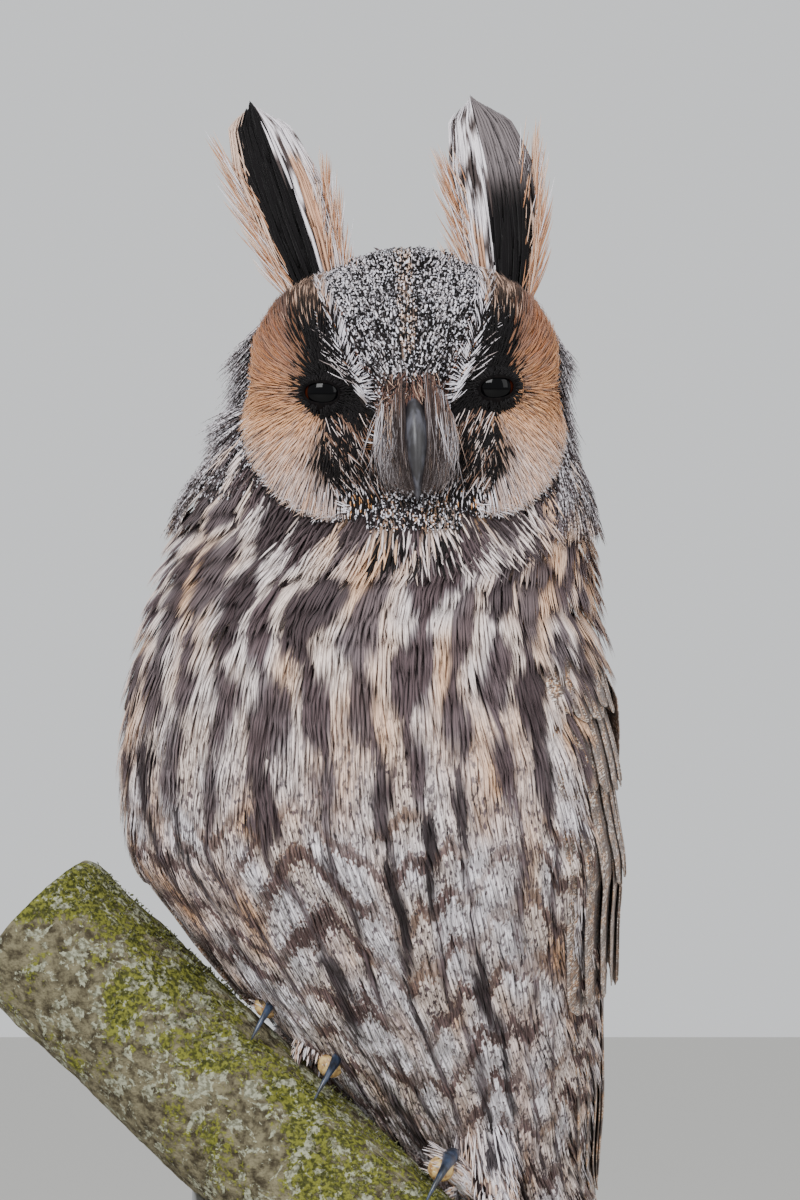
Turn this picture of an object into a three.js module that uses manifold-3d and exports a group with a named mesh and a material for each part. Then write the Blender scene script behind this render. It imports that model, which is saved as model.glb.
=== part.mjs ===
// A long-eared owl at life size, upright on a sloping branch, carried by a plain display stand.
// Millimetres, +Z up. The owl faces -Y, and its own right side is at -X.
// The origin is the middle of the stand's underside. Left and right are the owl's own.
import * as THREE from "three";
import { mergeVertices } from "three/addons/utils/BufferGeometryUtils.js";
import Module from "manifold-3d";

const wasm = await Module();
wasm.setup();

const vec = (x, y, z) => new THREE.Vector3(x, y, z);
const mix = THREE.MathUtils.lerp;
const smooth = THREE.MathUtils.smoothstep; // of a value, from the low end to the high end
const degrees = (d) => (d * Math.PI) / 180;

// Driving sizes
const GAP = 0.35; // kept between pieces that touch
const BASE = { length: 190, width: 170, height: 15, corner: 18 };
const RODS = { radius: 4.5, upperX: -52, lowerX: 26 };
const BRANCH = { radius: 23.5, middle: vec(0, -20, 95.6), upperX: -100, lowerX: 62, sides: 18 };
const BRANCH_LINE = vec(0.715, -0.204, -0.668).normalize(); // down its length
const FEET_ROOM = 11; // between the branch and the feathers of the belly
const BODY_TURN = degrees(25); // the breast points this far to the owl's right
const TURN = { topZ: 330, fullZ: 265 }; // from the head, which looks straight ahead, to the breast
const RING_POINTS = 28;
const WING_DEPTH = 10; // from the wing's outer feathers in to the torso
const VENT_Z = 98;
const HEAD_CUT = { z: 302.8, slope: 0.22 }; // the plane between head and neck, lower in front
const NECK_CUT = { z: 284.8, slope: 0.15 };
const HEAD = { middle: vec(1.6, -28, 332), roll: degrees(1.6) };
const EYE = { side: 20.2, back: -27.6, up: 0.5, radius: 8.6, lid: 1.3, slit: 5.4, slitWidth: 13 };
const VANE_THICKNESS = 0.6;

// The outer shape of the closed plumage, wings included, from the crown down: the middle of each
// level, half its width as seen from the front, and half its depth.
const LEVELS = [
  { z: 370, x: 2.6, y: -28, w: 10, d: 10 },
  { z: 367, x: 2.4, y: -28, w: 18, d: 17 },
  { z: 361, x: 1.6, y: -28, w: 30, d: 27 },
  { z: 354, x: 1.3, y: -28, w: 37.5, d: 34 },
  { z: 344, x: 1.2, y: -28, w: 41.5, d: 38.5 },
  { z: 332, x: 0.8, y: -27, w: 42.5, d: 39.5 },
  { z: 320, x: -1.2, y: -25, w: 47.5, d: 41 },
  { z: 308, x: -2.8, y: -23.5, w: 53.5, d: 44 },
  { z: 296, x: -4.2, y: -22, w: 58, d: 47.5 },
  { z: 276, x: -6.9, y: -21, w: 62.6, d: 52.5 },
  { z: 252, x: -8, y: -19, w: 67, d: 56 },
  { z: 230, x: -7.6, y: -16.5, w: 69.2, d: 57 },
  { z: 210, x: -6, y: -13, w: 69, d: 56 },
  { z: 190, x: 0, y: -7, w: 61, d: 52 },
  { z: 165, x: 10, y: 2, w: 49, d: 47 },
  { z: 145, x: 18, y: 10, w: 40, d: 41 },
  { z: 115, x: 27, y: 25, w: 29, d: 29 },
  { z: 60, x: 34, y: 58, w: 28, d: 12 },
  { z: 18, x: 39, y: 76, w: 26, d: 7 },
];

// One size of the plumage at any height, on a curve without overshoot through the levels
function level(key, z) {
  const last = LEVELS.length - 1;
  if (z >= LEVELS[0].z) return LEVELS[0][key];
  if (z <= LEVELS[last].z) return LEVELS[last][key];
  let i = 0;
  while (LEVELS[i + 1].z > z) i++;
  const slope = (k) => {
    const a = LEVELS[Math.max(0, Math.min(last - 1, k))];
    const b = LEVELS[Math.max(0, Math.min(last - 1, k)) + 1];
    return (b[key] - a[key]) / (b.z - a.z);
  };
  const tangent = (k) => {
    const before = slope(k - 1);
    const after = slope(k);
    return before * after <= 0 ? 0 : (2 * before * after) / (before + after);
  };
  const h = LEVELS[i + 1].z - LEVELS[i].z;
  const t = (z - LEVELS[i].z) / h;
  const bend = t * (1 - t) * h * ((1 - t) * tangent(i) - t * tangent(i + 1));
  return mix(LEVELS[i][key], LEVELS[i + 1][key], t * t * (3 - 2 * t)) + bend;
}

// The cross-section of the plumage at a height: its turn, half sizes and squareness in front
function section(z) {
  const turn = BODY_TURN * (1 - smooth(z, TURN.fullZ, TURN.topZ));
  const depth = level("d", z);
  const inDepth = depth * Math.sin(turn);
  const half = Math.sqrt(level("w", z) ** 2 - inDepth ** 2) / Math.cos(turn);
  const square = mix(2.15, 2.9, smooth(z, 290, 322)); // the face is flatter than the breast
  return { turn, depth, half, square, x: level("x", z), y: level("y", z) };
}

// From a level's own directions, towards the owl's left and towards its back, to the part's
function fromSection({ turn, x, y }, left, back, z) {
  return vec(
    x + left * Math.cos(turn) + back * Math.sin(turn),
    y - left * Math.sin(turn) + back * Math.cos(turn),
    z,
  );
}

// A point of the plumage: angle 0 is the breast, 90 degrees the owl's left side and 180 the back
function plumage(angle, z, inset = 0) {
  const at = section(z);
  const power = 2 / (Math.cos(angle) > 0 ? at.square : 2.1);
  const round = (v) => Math.sign(v) * Math.abs(v) ** power;
  const left = Math.max(0.5, at.half - inset) * round(Math.sin(angle));
  const back = -Math.max(0.5, at.depth - inset) * round(Math.cos(angle));
  return fromSection(at, left, back, z);
}

function outward(angle, z) {
  const along = plumage(angle + 0.02, z).sub(plumage(angle - 0.02, z));
  const up = plumage(angle, z + 1.5).sub(plumage(angle, z - 1.5));
  return along.cross(up).normalize();
}

function isInsidePlumage(point) {
  const at = section(point.z);
  const x = point.x - at.x;
  const y = point.y - at.y;
  const left = Math.abs(x * Math.cos(at.turn) - y * Math.sin(at.turn)) / at.half;
  const back = (x * Math.sin(at.turn) + y * Math.cos(at.turn)) / at.depth;
  const power = back < 0 ? at.square : 2.1;
  return left ** power + Math.abs(back) ** power < 1;
}

// Where a line from inside the plumage comes out of it
function skinAlong(start, direction) {
  let inner = 0;
  let outer = 60;
  for (let i = 0; i < 24; i++) {
    const middle = (inner + outer) / 2;
    if (isInsidePlumage(start.clone().addScaledVector(direction, middle))) inner = middle;
    else outer = middle;
  }
  return start.clone().addScaledVector(direction, inner);
}

// A solid from points and triangles, turned right side out
function solidOf(points, faces) {
  const make = (triVerts) =>
    new wasm.Manifold(
      new wasm.Mesh({
        numProp: 3,
        vertProperties: new Float32Array(points.flatMap((p) => [p.x, p.y, p.z])),
        triVerts: new Uint32Array(triVerts),
      }),
    );
  const made = make(faces);
  if (made.volume() > 0) return made;
  const turned = [];
  for (let i = 0; i < faces.length; i += 3) turned.push(faces[i + 1], faces[i], faces[i + 2]);
  return make(turned);
}

// A solid from a three.js geometry
function solidFrom(geometry) {
  const bare = geometry.clone();
  bare.deleteAttribute("normal");
  bare.deleteAttribute("uv");
  const merged = mergeVertices(bare, 1e-4);
  const position = merged.getAttribute("position");
  const points = [];
  for (let i = 0; i < position.count; i++) points.push(vec().fromBufferAttribute(position, i));
  return solidOf(points, Array.from(merged.index.array));
}

// A closed skin through rings of equal count that run anticlockwise as seen from the last one
function skin(rings) {
  const count = rings[0].length;
  const points = rings.flat();
  const faces = [];
  for (let r = 0; r + 1 < rings.length; r++)
    for (let k = 0; k < count; k++) {
      const a = r * count + k;
      const b = r * count + ((k + 1) % count);
      faces.push(a, b, b + count, a, b + count, a + count);
    }
  const middle = (ring) => ring.reduce((sum, p) => sum.add(p), vec(0, 0, 0)).divideScalar(count);
  const end = (rings.length - 1) * count;
  points.push(middle(rings[0]), middle(rings.at(-1)));
  for (let k = 0; k < count; k++) {
    faces.push(points.length - 2, (k + 1) % count, k);
    faces.push(points.length - 1, end + k, end + ((k + 1) % count));
  }
  return solidOf(points, faces);
}

const fuse = (solids) => solids.reduce((sum, next) => sum.add(next));

// The largest body of a solid, without its loose scraps
function largest(solid) {
  return solid.decompose().reduce((best, next) => (next.volume() > best.volume() ? next : best));
}

function ball(middle, rx, ry = rx, rz = rx, around = 12) {
  const geometry = new THREE.SphereGeometry(1, around, Math.round(0.7 * around));
  geometry.scale(rx, ry, rz);
  geometry.translate(middle.x, middle.y, middle.z);
  return solidFrom(geometry);
}

// The way a row of stations runs at one of them
function aheadAt(stations, i) {
  const before = stations[Math.max(0, i - 1)].at;
  const after = stations[Math.min(stations.length - 1, i + 1)].at;
  return after.clone().sub(before).normalize();
}

// A round tube: each station has a point, a half width, a half thickness and which way is out
function tube(stations, sides = 10) {
  const rings = stations.map(({ at, width, thick, out }, i) => {
    const ahead = aheadAt(stations, i);
    const across = out.clone().cross(ahead).normalize();
    const over = ahead.clone().cross(across);
    return Array.from({ length: sides }, (_, k) => {
      const turn = (k / sides) * 2 * Math.PI;
      return at
        .clone()
        .addScaledVector(across, width * Math.cos(turn))
        .addScaledVector(over, thick * Math.sin(turn));
    });
  });
  return skin(rings);
}

// A closed thin blade, split into like triangles above and below. Each station has a point,
// a whole width and the direction that the upper face looks to.
function vane(stations, thickness = VANE_THICKNESS) {
  const corners = [[1, -1], [1, 1], [-1, 1], [-1, -1]];
  const points = stations.flatMap(({ at, width, out }, i) => {
    const ahead = aheadAt(stations, i);
    const across = out.clone().cross(ahead).normalize();
    const over = ahead.clone().cross(across);
    return corners.map(([side, face]) =>
      at
        .clone()
        .addScaledVector(across, (side * width) / 2)
        .addScaledVector(over, (face * thickness) / 2),
    );
  });
  const faces = [];
  for (let r = 0; r + 1 < stations.length; r++)
    for (let k = 0; k < 4; k++) {
      const a = r * 4 + k;
      const b = r * 4 + ((k + 1) % 4);
      if (k === 3) faces.push(a, b, a + 4, b, b + 4, a + 4);
      else faces.push(a, b, b + 4, a, b + 4, a + 4);
    }
  const end = (stations.length - 1) * 4;
  for (const [a, b, c] of [[0, 1, 2], [0, 2, 3]]) faces.push(a, c, b, end + a, end + b, end + c);
  return solidOf(points, faces);
}

// Where along a feather its stations lie, and how wide it is there as a share of its full width
const LONG_FEATHER = [[0, 0.35], [0.38, 1], [0.84, 0.86], [1, 0.24]];
const SHORT_FEATHER = [[0, 0.5], [0.62, 1], [1, 0.34]];
const LOCK = [0.7, 1, 0.35];

// A feather that lies on the plumage, from an angle and height to another; "inset" says how deep
// it lies at a share of its length and a height, and its roll lifts one edge over its neighbour.
function plumageFeather({ from, to, inset, width, roll, shape }) {
  const stations = shape.map(([t, share]) => {
    const angle = mix(from[0], to[0], t);
    const z = mix(from[1], to[1], t);
    return { at: plumage(angle, z, inset(t, z)), width: width * share, out: outward(angle, z) };
  });
  stations.forEach((station, i) => station.out.applyAxisAngle(aheadAt(stations, i), roll));
  return vane(stations);
}

// The owl's body as one closed shape; "inset" says how far it lies inside the plumage at a place
function bodyShape(inset, topZ, bottomZ, steps) {
  const rings = [];
  for (let i = 0; i <= steps; i++) {
    const z = mix(bottomZ, topZ, i / steps);
    const ring = [];
    for (let k = 0; k < RING_POINTS; k++) {
      const angle = (k / RING_POINTS - 0.5) * 2 * Math.PI;
      ring.push(plumage(angle, z, inset(Math.abs(angle), z)));
    }
    rings.push(ring);
  }
  return skin(rings);
}

// The torso lies at the plumage's surface on the breast, and under the wings by their depth
function torsoInset(angle, z) {
  const mantle = smooth(angle, degrees(158), degrees(170)) * smooth(z, 190, 215);
  const underWing = smooth(angle, degrees(58), degrees(70)) * (1 - smooth(z, 272, 288));
  const lowerEnd = 1 - smooth(z, VENT_Z, VENT_Z + 22);
  return WING_DEPTH * underWing * (1 - 0.8 * mantle) + 14 * lowerEnd ** 2;
}

// What is left of a solid above a plane that drops towards the front, or below it
function keepAbove(solid, { z, slope }, lift) {
  const length = Math.hypot(1, slope);
  return solid.trimByPlane([0, -slope / length, 1 / length], (z + lift) / length);
}
function keepBelow(solid, { z, slope }, drop) {
  const length = Math.hypot(1, slope);
  return solid.trimByPlane([0, slope / length, -1 / length], (drop - z) / length);
}

// The branch
function branchAt(x) {
  return BRANCH.middle.clone().addScaledVector(BRANCH_LINE, x / BRANCH_LINE.x);
}
const BRANCH_UP = vec(0, 0, 1).addScaledVector(BRANCH_LINE, -BRANCH_LINE.z).normalize();
const BRANCH_FRONT = BRANCH_LINE.clone().cross(BRANCH_UP);

// A place over the branch: along it, round it from the top towards the front, and off its surface
function overBranch(x, along, turn, off) {
  const reach = BRANCH.radius + off;
  return branchAt(x)
    .addScaledVector(BRANCH_LINE, along)
    .addScaledVector(BRANCH_UP, reach * Math.cos(turn))
    .addScaledVector(BRANCH_FRONT, reach * Math.sin(turn));
}

function makeBranch(extra) {
  const steps = 9;
  const rings = [];
  for (let i = 0; i <= steps; i++) {
    const x = mix(BRANCH.upperX, BRANCH.lowerX, i / steps);
    const ring = [];
    for (let k = 0; k < BRANCH.sides; k++) {
      const turn = (k / BRANCH.sides) * 2 * Math.PI;
      const knots = 0.35 * Math.sin(3 * turn + 1.7 * i) + 0.3 * Math.sin(5 * turn - 2.3 * i);
      ring.push(overBranch(x, 0, -turn, extra + knots));
    }
    rings.push(ring);
  }
  return skin(rings);
}

// The stand
function makeBase() {
  const { length, width, height, corner } = BASE;
  const x = length / 2 - corner;
  const y = width / 2 - corner;
  const outline = new THREE.Shape();
  outline.absarc(x, y, corner, 0, Math.PI / 2);
  outline.absarc(-x, y, corner, Math.PI / 2, Math.PI);
  outline.absarc(-x, -y, corner, Math.PI, 1.5 * Math.PI);
  outline.absarc(x, -y, corner, 1.5 * Math.PI, 2 * Math.PI);
  const settings = { depth: height, bevelEnabled: false, curveSegments: 6 };
  return solidFrom(new THREE.ExtrudeGeometry(outline, settings));
}

function makeRod(x) {
  const top = branchAt(x);
  const height = top.z - BASE.height;
  const geometry = new THREE.CylinderGeometry(RODS.radius, RODS.radius, height, 16);
  geometry.rotateX(Math.PI / 2);
  geometry.translate(top.x, top.y, BASE.height + GAP + height / 2);
  return largest(solidFrom(geometry).subtract(branchRoom));
}

// The wings: tiers of feathers over a thin core, each a row from the wing's back edge to its front
// edge. Angles are degrees round the body and rise towards the back, and a feather rolls so that
// its front edge lies over the next one. The first tier is the secondaries, the others coverts.
const WING_TIERS = [
  { count: 6, root: [142, 84], tip: [156, 94], rootZ: [212, 200], tipZ: [126, 112], width: 15 },
  { count: 6, root: [142, 78], tip: [150, 80], rootZ: [226, 218], tipZ: [182, 166], width: 18 },
  { count: 6, root: [141, 76], tip: [148, 77], rootZ: [242, 236], tipZ: [208, 198], width: 18 },
  { count: 5, root: [136, 75], tip: [142, 76], rootZ: [256, 252], tipZ: [230, 224], width: 18 },
  { count: 4, root: [117, 75], tip: [122, 76], rootZ: [268, 266], tipZ: [247, 245], width: 18 },
];
const PRIMARIES = {
  count: 4, root: [108, 72], tip: [150, 118], rootZ: [191, 191], tipZ: [88, 34], width: 12.5,
};
const SCAPULARS = {
  count: 4, root: [145, 116], tip: [163, 134], rootZ: [273, 270], tipZ: [200, 230], width: 16,
};
const WING_CORE = { angles: [72, 146], topZ: 276, bottomZ: 186, inset: 6.8 };
const WING_INSET = {
  secondary: (t) => mix(7.8, 2.4, t ** 0.9),
  firstCovert: (t) => mix(7.6, 1.8, Math.sqrt(t)),
  covert: (t) => mix(7.8, 3, Math.sqrt(t)), // deeper, as the scapulars hang over them
  primary: (t, z) => mix(2.2, 8.6, smooth(z, 92, 138)), // under the secondaries, then clear
  scapular: (t) => mix(8.5, 0.6, Math.min(1, 2.2 * t)),
};
const WING_ROLL = { flight: 12, covert: 9, scapular: 11 };

function makeWing(side, rooms) {
  const turned = (angle) => side * degrees(angle);
  const parts = [makeWingCore(turned)];
  const addRow = ({ count, root, tip, rootZ, tipZ, width }, inset, roll, shape) => {
    for (let i = 0; i < count; i++) {
      const t = i / (count - 1);
      const jitter = 1.5 * Math.sin(5 * i + rootZ[0]);
      parts.push(
        plumageFeather({
          from: [turned(mix(...root, t)), mix(...rootZ, t)],
          to: [turned(mix(...tip, t)), mix(...tipZ, t) + jitter],
          inset,
          width,
          roll: -side * degrees(roll),
          shape,
        }),
      );
    }
  };
  WING_TIERS.forEach((tier, i) => {
    if (i === 0) addRow(tier, WING_INSET.secondary, WING_ROLL.flight, LONG_FEATHER);
    else addRow(tier, WING_INSET[i === 1 ? "firstCovert" : "covert"], WING_ROLL.covert, SHORT_FEATHER);
  });
  addRow(PRIMARIES, WING_INSET.primary, WING_ROLL.flight, LONG_FEATHER);
  addRow(SCAPULARS, WING_INSET.scapular, WING_ROLL.scapular, SHORT_FEATHER);
  return largest(rooms.reduce((wing, other) => wing.subtract(other), fuse(parts)));
}

// The wing's arm under its feathers: a plate that follows the body
function makeWingCore(turned) {
  const { angles, topZ, bottomZ, inset } = WING_CORE;
  const rows = 4;
  const columns = 5;
  const rings = [];
  for (let i = 0; i <= rows; i++) {
    const t = i / rows;
    const z = mix(topZ, bottomZ, t);
    const shift = 10 * t * t;
    const ring = [];
    const put = (k, depth) =>
      ring.push(plumage(turned(mix(angles[0], angles[1], k / columns) + shift), z, depth));
    for (let k = 0; k <= columns; k++) put(k, inset + (i === 0 ? 1 : 0));
    for (let k = columns; k >= 0; k--) put(k, WING_DEPTH + 2);
    rings.push(ring);
  }
  return skin(rings);
}

// The tail: twelve feathers side by side, the middle pair on top, from a root pad at the rump
const TAIL = { count: 12, rootZ: 136, tipZ: 21, spread: [9, 21.5], width: 14, layer: 0.55 };

function tailPlace(left, z, under) {
  const at = section(z);
  const inset = mix(8.2, 9.6, smooth(TAIL.rootZ - z, 0, 30));
  return fromSection(at, left, at.depth - inset - 0.006 * left * left - under, z);
}

function makeTail(extra) {
  const padZ = TAIL.rootZ - 8;
  const parts = [ball(tailPlace(0, padZ, 1), 12 + extra, 3 + extra, 9 + extra, 10)];
  for (let i = 0; i < TAIL.count; i++) {
    const place = i - (TAIL.count - 1) / 2; // from the middle, in feathers
    const share = (2 * place) / (TAIL.count - 1);
    const under = TAIL.layer * Math.abs(place);
    const tipZ = TAIL.tipZ + 3.5 * share * share - extra;
    const stations = LONG_FEATHER.map(([t, wide]) => {
      const left = share * mix(...TAIL.spread, Math.sqrt(t));
      const z = mix(TAIL.rootZ, tipZ, t);
      const at = tailPlace(left, z, under + 0.8 * (1 - t));
      return { at, width: TAIL.width * mix(0.6, 1, wide) + 2 * extra, out: outward(Math.PI, z) };
    });
    stations.at(-1).width = TAIL.width * 0.45 + 2 * extra;
    const roll = Math.sign(place) * degrees(5);
    stations.forEach((station, k) => station.out.applyAxisAngle(aheadAt(stations, k), roll));
    parts.push(vane(stations, VANE_THICKNESS + 2 * extra));
  }
  return fuse(parts);
}

// The head. A place on it: x to the owl's left, y back and z up from the head's middle
const headFrame = new THREE.Matrix4()
  .makeTranslation(HEAD.middle.x, HEAD.middle.y, HEAD.middle.z)
  .multiply(new THREE.Matrix4().makeRotationY(-HEAD.roll));
const onHead = (x, y, z) => vec(x, y, z).applyMatrix4(headFrame);
const FACE = vec(0, -1, 0); // the way the face looks
const DISC = { side: 20.5, up: -3, width: 21.5, height: 29 }; // the middle and half sizes of each disc

// The hollow of one facial disc, to be taken out of the head
const discHollow = (side) => ball(onHead(side * 23, -75.5, DISC.up), 23, 42, 30);

// The stiff feathers of the ruff round a disc, from over the eye outwards and down to the chin.
// Each is rooted at the rim and points away from the disc, with its tip clear of the skin.
const RUFF = { count: 13, fromTurn: 84, toTurn: -118, length: 12, width: 8, topZ: 363 };
const RUFF_LIFT = [-1.4, 1.6, 1.5];

function makeRuff(side) {
  const locks = [];
  for (let i = 0; i < RUFF.count; i++) {
    const turn = degrees(mix(RUFF.fromTurn, RUFF.toTurn, i / (RUFF.count - 1)));
    const away = vec(side * Math.cos(turn), 0, Math.sin(turn));
    const x = side * DISC.side + DISC.width * away.x;
    const z = DISC.up + DISC.height * away.z;
    const rim = skinAlong(onHead(x * 0.92, 0, z * 0.97), FACE);
    const out = FACE.clone().addScaledVector(away, 0.8).applyAxisAngle(away, side * degrees(9));
    const stations = LOCK.map((wide, k) => ({
      at: nearSkin(rim, away, (RUFF.length * k) / 2, RUFF_LIFT[k]),
      width: RUFF.width * wide,
      out,
    }));
    locks.push(vane(stations));
  }
  return fuse(locks);
}

// A place over or under the skin, away from a point of a disc's rim and behind it
function nearSkin(rim, away, reach, lift) {
  const place = rim.clone().addScaledVector(away, reach).add(vec(0, 0.6 * reach, 0));
  place.z = Math.min(place.z, RUFF.topZ);
  const axis = vec(HEAD.middle.x, HEAD.middle.y, place.z);
  const level = place.clone().sub(axis).normalize();
  return skinAlong(axis, level).addScaledVector(level, lift);
}

// The raised middle of the face, from the forehead down over the bill's root to the chin
function makeFaceRidge() {
  const station = (y, z, width) => ({ at: onHead(0.2, y, z), width, thick: 6, out: FACE });
  return tube([
    station(-31, 27, 5),
    station(-35.5, 17, 7),
    station(-38, 6, 7),
    station(-39.5, -4, 8.5),
    station(-39.5, -13, 9),
    station(-37, -22, 9),
    station(-33.5, -29, 7),
  ]);
}

// The bristles that cover the sides of the bill, in a V from the eyes down to its tip
function makeBristles(side) {
  const locks = [];
  for (let i = 0; i < 3; i++) {
    const root = onHead(side * (7.5 + 1.1 * i) + 0.4, -38, 5 - 4.2 * i);
    const bend = onHead(side * (7.8 + 0.3 * i) + 0.4, -45.5 + 0.4 * i, -6 - 3.6 * i);
    const tip = onHead(side * (5 + 0.3 * i) + 0.4, -47.5 + 0.9 * i, -17.5 - 3 * i);
    const out = vec(side * 0.8, -0.6, 0);
    locks.push(vane([root, bend, tip].map((at, k) => ({ at, width: 3.4 * LOCK[k], out }))));
  }
  return fuse(locks);
}

// The bill hooks down; its lower half shows as a thin line under the edge of the upper one
function makeUpperBill(extra) {
  const station = (x, y, z, width, thick, lean) => ({
    at: onHead(x, y, z),
    width: width + extra,
    thick: thick + extra,
    out: vec(0, -1, lean),
  });
  return tube(
    [
      station(0, -34, -3, 4.4, 5, 0.4),
      station(0, -42, -6.5, 4.2, 4.8, 0.5),
      station(-0.2, -46.5, -12.5, 3.7, 3.9, 0.2),
      station(-0.4, -48.2, -19.5, 2.6, 2.7, 0),
      station(-0.5, -47.4, -25.5, 1.3, 1.4, -0.2),
      station(-0.6, -46.2, -28.6, 0.4, 0.4, -0.3),
    ],
    12,
  );
}

function makeLowerBill() {
  const station = (y, z, width, thick) => ({ at: onHead(-0.2, y, z), width, thick, out: vec(0, -1, -0.7) });
  return tube([
    station(-34, -13, 3.6, 2.2),
    station(-40, -18, 3.2, 1.9),
    station(-43.5, -22.5, 2.4, 1.5),
    station(-45, -25, 1.2, 0.8),
  ]);
}

function makeNostrils() {
  return fuse([-1, 1].map((side) => ball(onHead(side * 4, -43, -8), 1.1, 1.4, 1.1, 7)));
}

// An ear tuft: long narrow feathers from one root, given by the line of its middle
const TUFTS = {
  right: { root: [-22, -9, 24], bend: [-31.5, -5, 56], tip: [-40, -2, 80.5], spread: [7.5, 7.5, 2.5] },
  left: { root: [26.5, -9, 22], bend: [28.5, -5, 57], tip: [19.5, -2, 80.5], spread: [7, 7.5, 2.5] },
};
const TUFT_FEATHERS = 7;

function makeTuft({ root, bend, tip, spread }, room) {
  const parts = [ball(onHead(...root).add(vec(0, 0, 5)), 8, 4, 6, 10)];
  const sections = [[0, 0.7], [0.35, 1], [0.75, 0.8], [1, 0.2]];
  for (let i = 0; i < TUFT_FEATHERS; i++) {
    const across = (2 * i) / (TUFT_FEATHERS - 1) - 1;
    const reach = 1 - 0.16 * Math.abs(across) ** 1.5;
    const layer = i % 2 ? 0.7 : -0.7;
    const stations = sections.map(([t, wide]) => {
      const s = t * reach;
      const middle = [0, 1, 2].map((k) =>
        mix(mix(root[k], bend[k], s), mix(bend[k], tip[k], s), s));
      const apart = across * mix(mix(spread[0], spread[1], s), mix(spread[1], spread[2], s), s);
      const at = onHead(middle[0] + apart, middle[1] + layer * (0.5 + s), middle[2]);
      return { at, width: 7 * wide, out: vec(0.3, -1, 0) };
    });
    parts.push(vane(stations, 0.9));
  }
  return largest(fuse(parts).subtract(room));
}

// The legs and feet. Each foot has two toes over the front of the branch and two down its back:
// places along the branch in millimetres and round it from its top in degrees.
const FEET = { right: { x: -45.5, side: -1 }, left: { x: 1.5, side: 1 } }; // the branch under each
const TOES = [
  { name: "outer_front", from: [3, -16], to: [12, 0], way: 1 },
  { name: "inner_front", from: [-3, -16], to: [-12, 0], way: 1 },
  { name: "outer_back", from: [3, -22], to: [9, -64], way: -1 },
  { name: "inner_back", from: [-3, -22], to: [-9, -60], way: -1 },
];
const TOE = { width: [4.6, 4.1], thick: [4.6, 4.4], off: [5.7, 5.3] };
const CLAW = { width: 2.4, off: [8.6, 1], arch: 2, turn: 33, drop: 6 }; // "drop" is down the branch

// A station of a toe or claw, which leans off the branch
function gripStation(foot, along, turn, off, width, thick) {
  const at = overBranch(foot.x, along, degrees(turn), off);
  return { at, width, thick, out: at.clone().sub(branchAt(foot.x)) };
}

function makeFoot(foot, extra) {
  const parts = TOES.map(({ from, to }) => {
    const stations = [];
    for (let i = 0; i <= 3; i++) {
      const t = i / 3;
      const knuckle = Math.sin(Math.PI * t);
      stations.push(
        gripStation(foot, foot.side * mix(from[0], to[0], t), mix(from[1], to[1], t),
          mix(...TOE.off, t) + 0.6 * knuckle, mix(...TOE.width, t) + extra, mix(...TOE.thick, t) + extra),
      );
    }
    return tube(stations, 7);
  });
  const shin = [4, 20].map((off, i) => ({
    at: overBranch(foot.x, 0, degrees(-18), off),
    width: 6 + extra + i,
    thick: 6 + extra + i,
    out: BRANCH_FRONT,
  }));
  return fuse([...parts, tube(shin, 8)]);
}

function makeClaw(foot, { to, way }, extra) {
  const stations = [];
  for (let i = 0; i <= 4; i++) {
    const t = i / 4;
    const off = mix(...CLAW.off, t) + CLAW.arch * Math.sin(Math.PI * t);
    const turn = to[1] + way * (CLAW.turn * t - (i ? 0 : 2 * extra));
    const along = foot.side * to[0] + (way > 0 ? CLAW.drop * t : 0);
    const thick = mix(CLAW.width, 0.35, t) + extra;
    stations.push(gripStation(foot, along, turn, off, thick, thick));
  }
  return tube(stations, 7);
}

function makeLeg(foot, extra) {
  const ankle = overBranch(foot.x, 0, degrees(-14), 11);
  const knee = vec(mix(ankle.x, 6, 0.35), ankle.y + 24, ankle.z + 38);
  const past = extra / ankle.distanceTo(knee);
  const station = (t, width, thick) => ({
    at: ankle.clone().lerp(knee, t),
    width: width + extra,
    thick: thick + extra,
    out: FACE,
  });
  return tube([station(-past, 7, 7), station(0.35, 10.5, 10), station(1 + past, 14, 12)], 12);
}

// The pieces, cut to meet face to face
const branch = makeBranch(0);
const branchRoom = makeBranch(GAP);
const torsoTop = NECK_CUT.z + 16;
let torso = bodyShape(torsoInset, torsoTop, VENT_Z, 15).subtract(makeBranch(FEET_ROOM));
let besideTorso = bodyShape((a, z) => torsoInset(a, z) - GAP, torsoTop, VENT_Z, 15);
besideTorso = besideTorso.subtract(makeBranch(FEET_ROOM - GAP));
const skull = bodyShape(() => 0, LEVELS[0].z, 284, 14);
const besideHead = bodyShape(() => -GAP, LEVELS[0].z, 284, 14);
const collar = bodyShape(() => 0, 310, 270, 4);
const neck = keepBelow(keepAbove(collar, NECK_CUT, GAP / 2), HEAD_CUT, GAP / 2);
torso = keepBelow(torso, NECK_CUT, GAP / 2);

let head = skull.subtract(discHollow(-1)).subtract(discHollow(1));
head = fuse([head, makeFaceRidge(), makeRuff(-1), makeRuff(1), makeBristles(-1), makeBristles(1)]);
head = keepAbove(head, HEAD_CUT, GAP / 2);
const lowerBill = makeLowerBill().subtract(makeUpperBill(GAP));
head = head.subtract(makeUpperBill(GAP)).subtract(makeLowerBill());

const owl = new THREE.Group();

// Names a piece, gives it its colour and adds it to the model
function place(name, solid, color, roughness, metalness = 0) {
  const { numProp, numVert, vertProperties, triVerts } = solid.getMesh();
  const position = new Float32Array(numVert * 3);
  for (let i = 0; i < numVert; i++)
    position.set(vertProperties.subarray(i * numProp, i * numProp + 3), i * 3);
  const geometry = new THREE.BufferGeometry();
  geometry.setAttribute("position", new THREE.BufferAttribute(position, 3));
  geometry.setIndex(new THREE.BufferAttribute(new Uint32Array(triVerts), 1));
  const material = new THREE.MeshStandardMaterial({ color, roughness, metalness });
  const mesh = new THREE.Mesh(geometry, material);
  mesh.name = name;
  owl.add(mesh);
}

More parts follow.
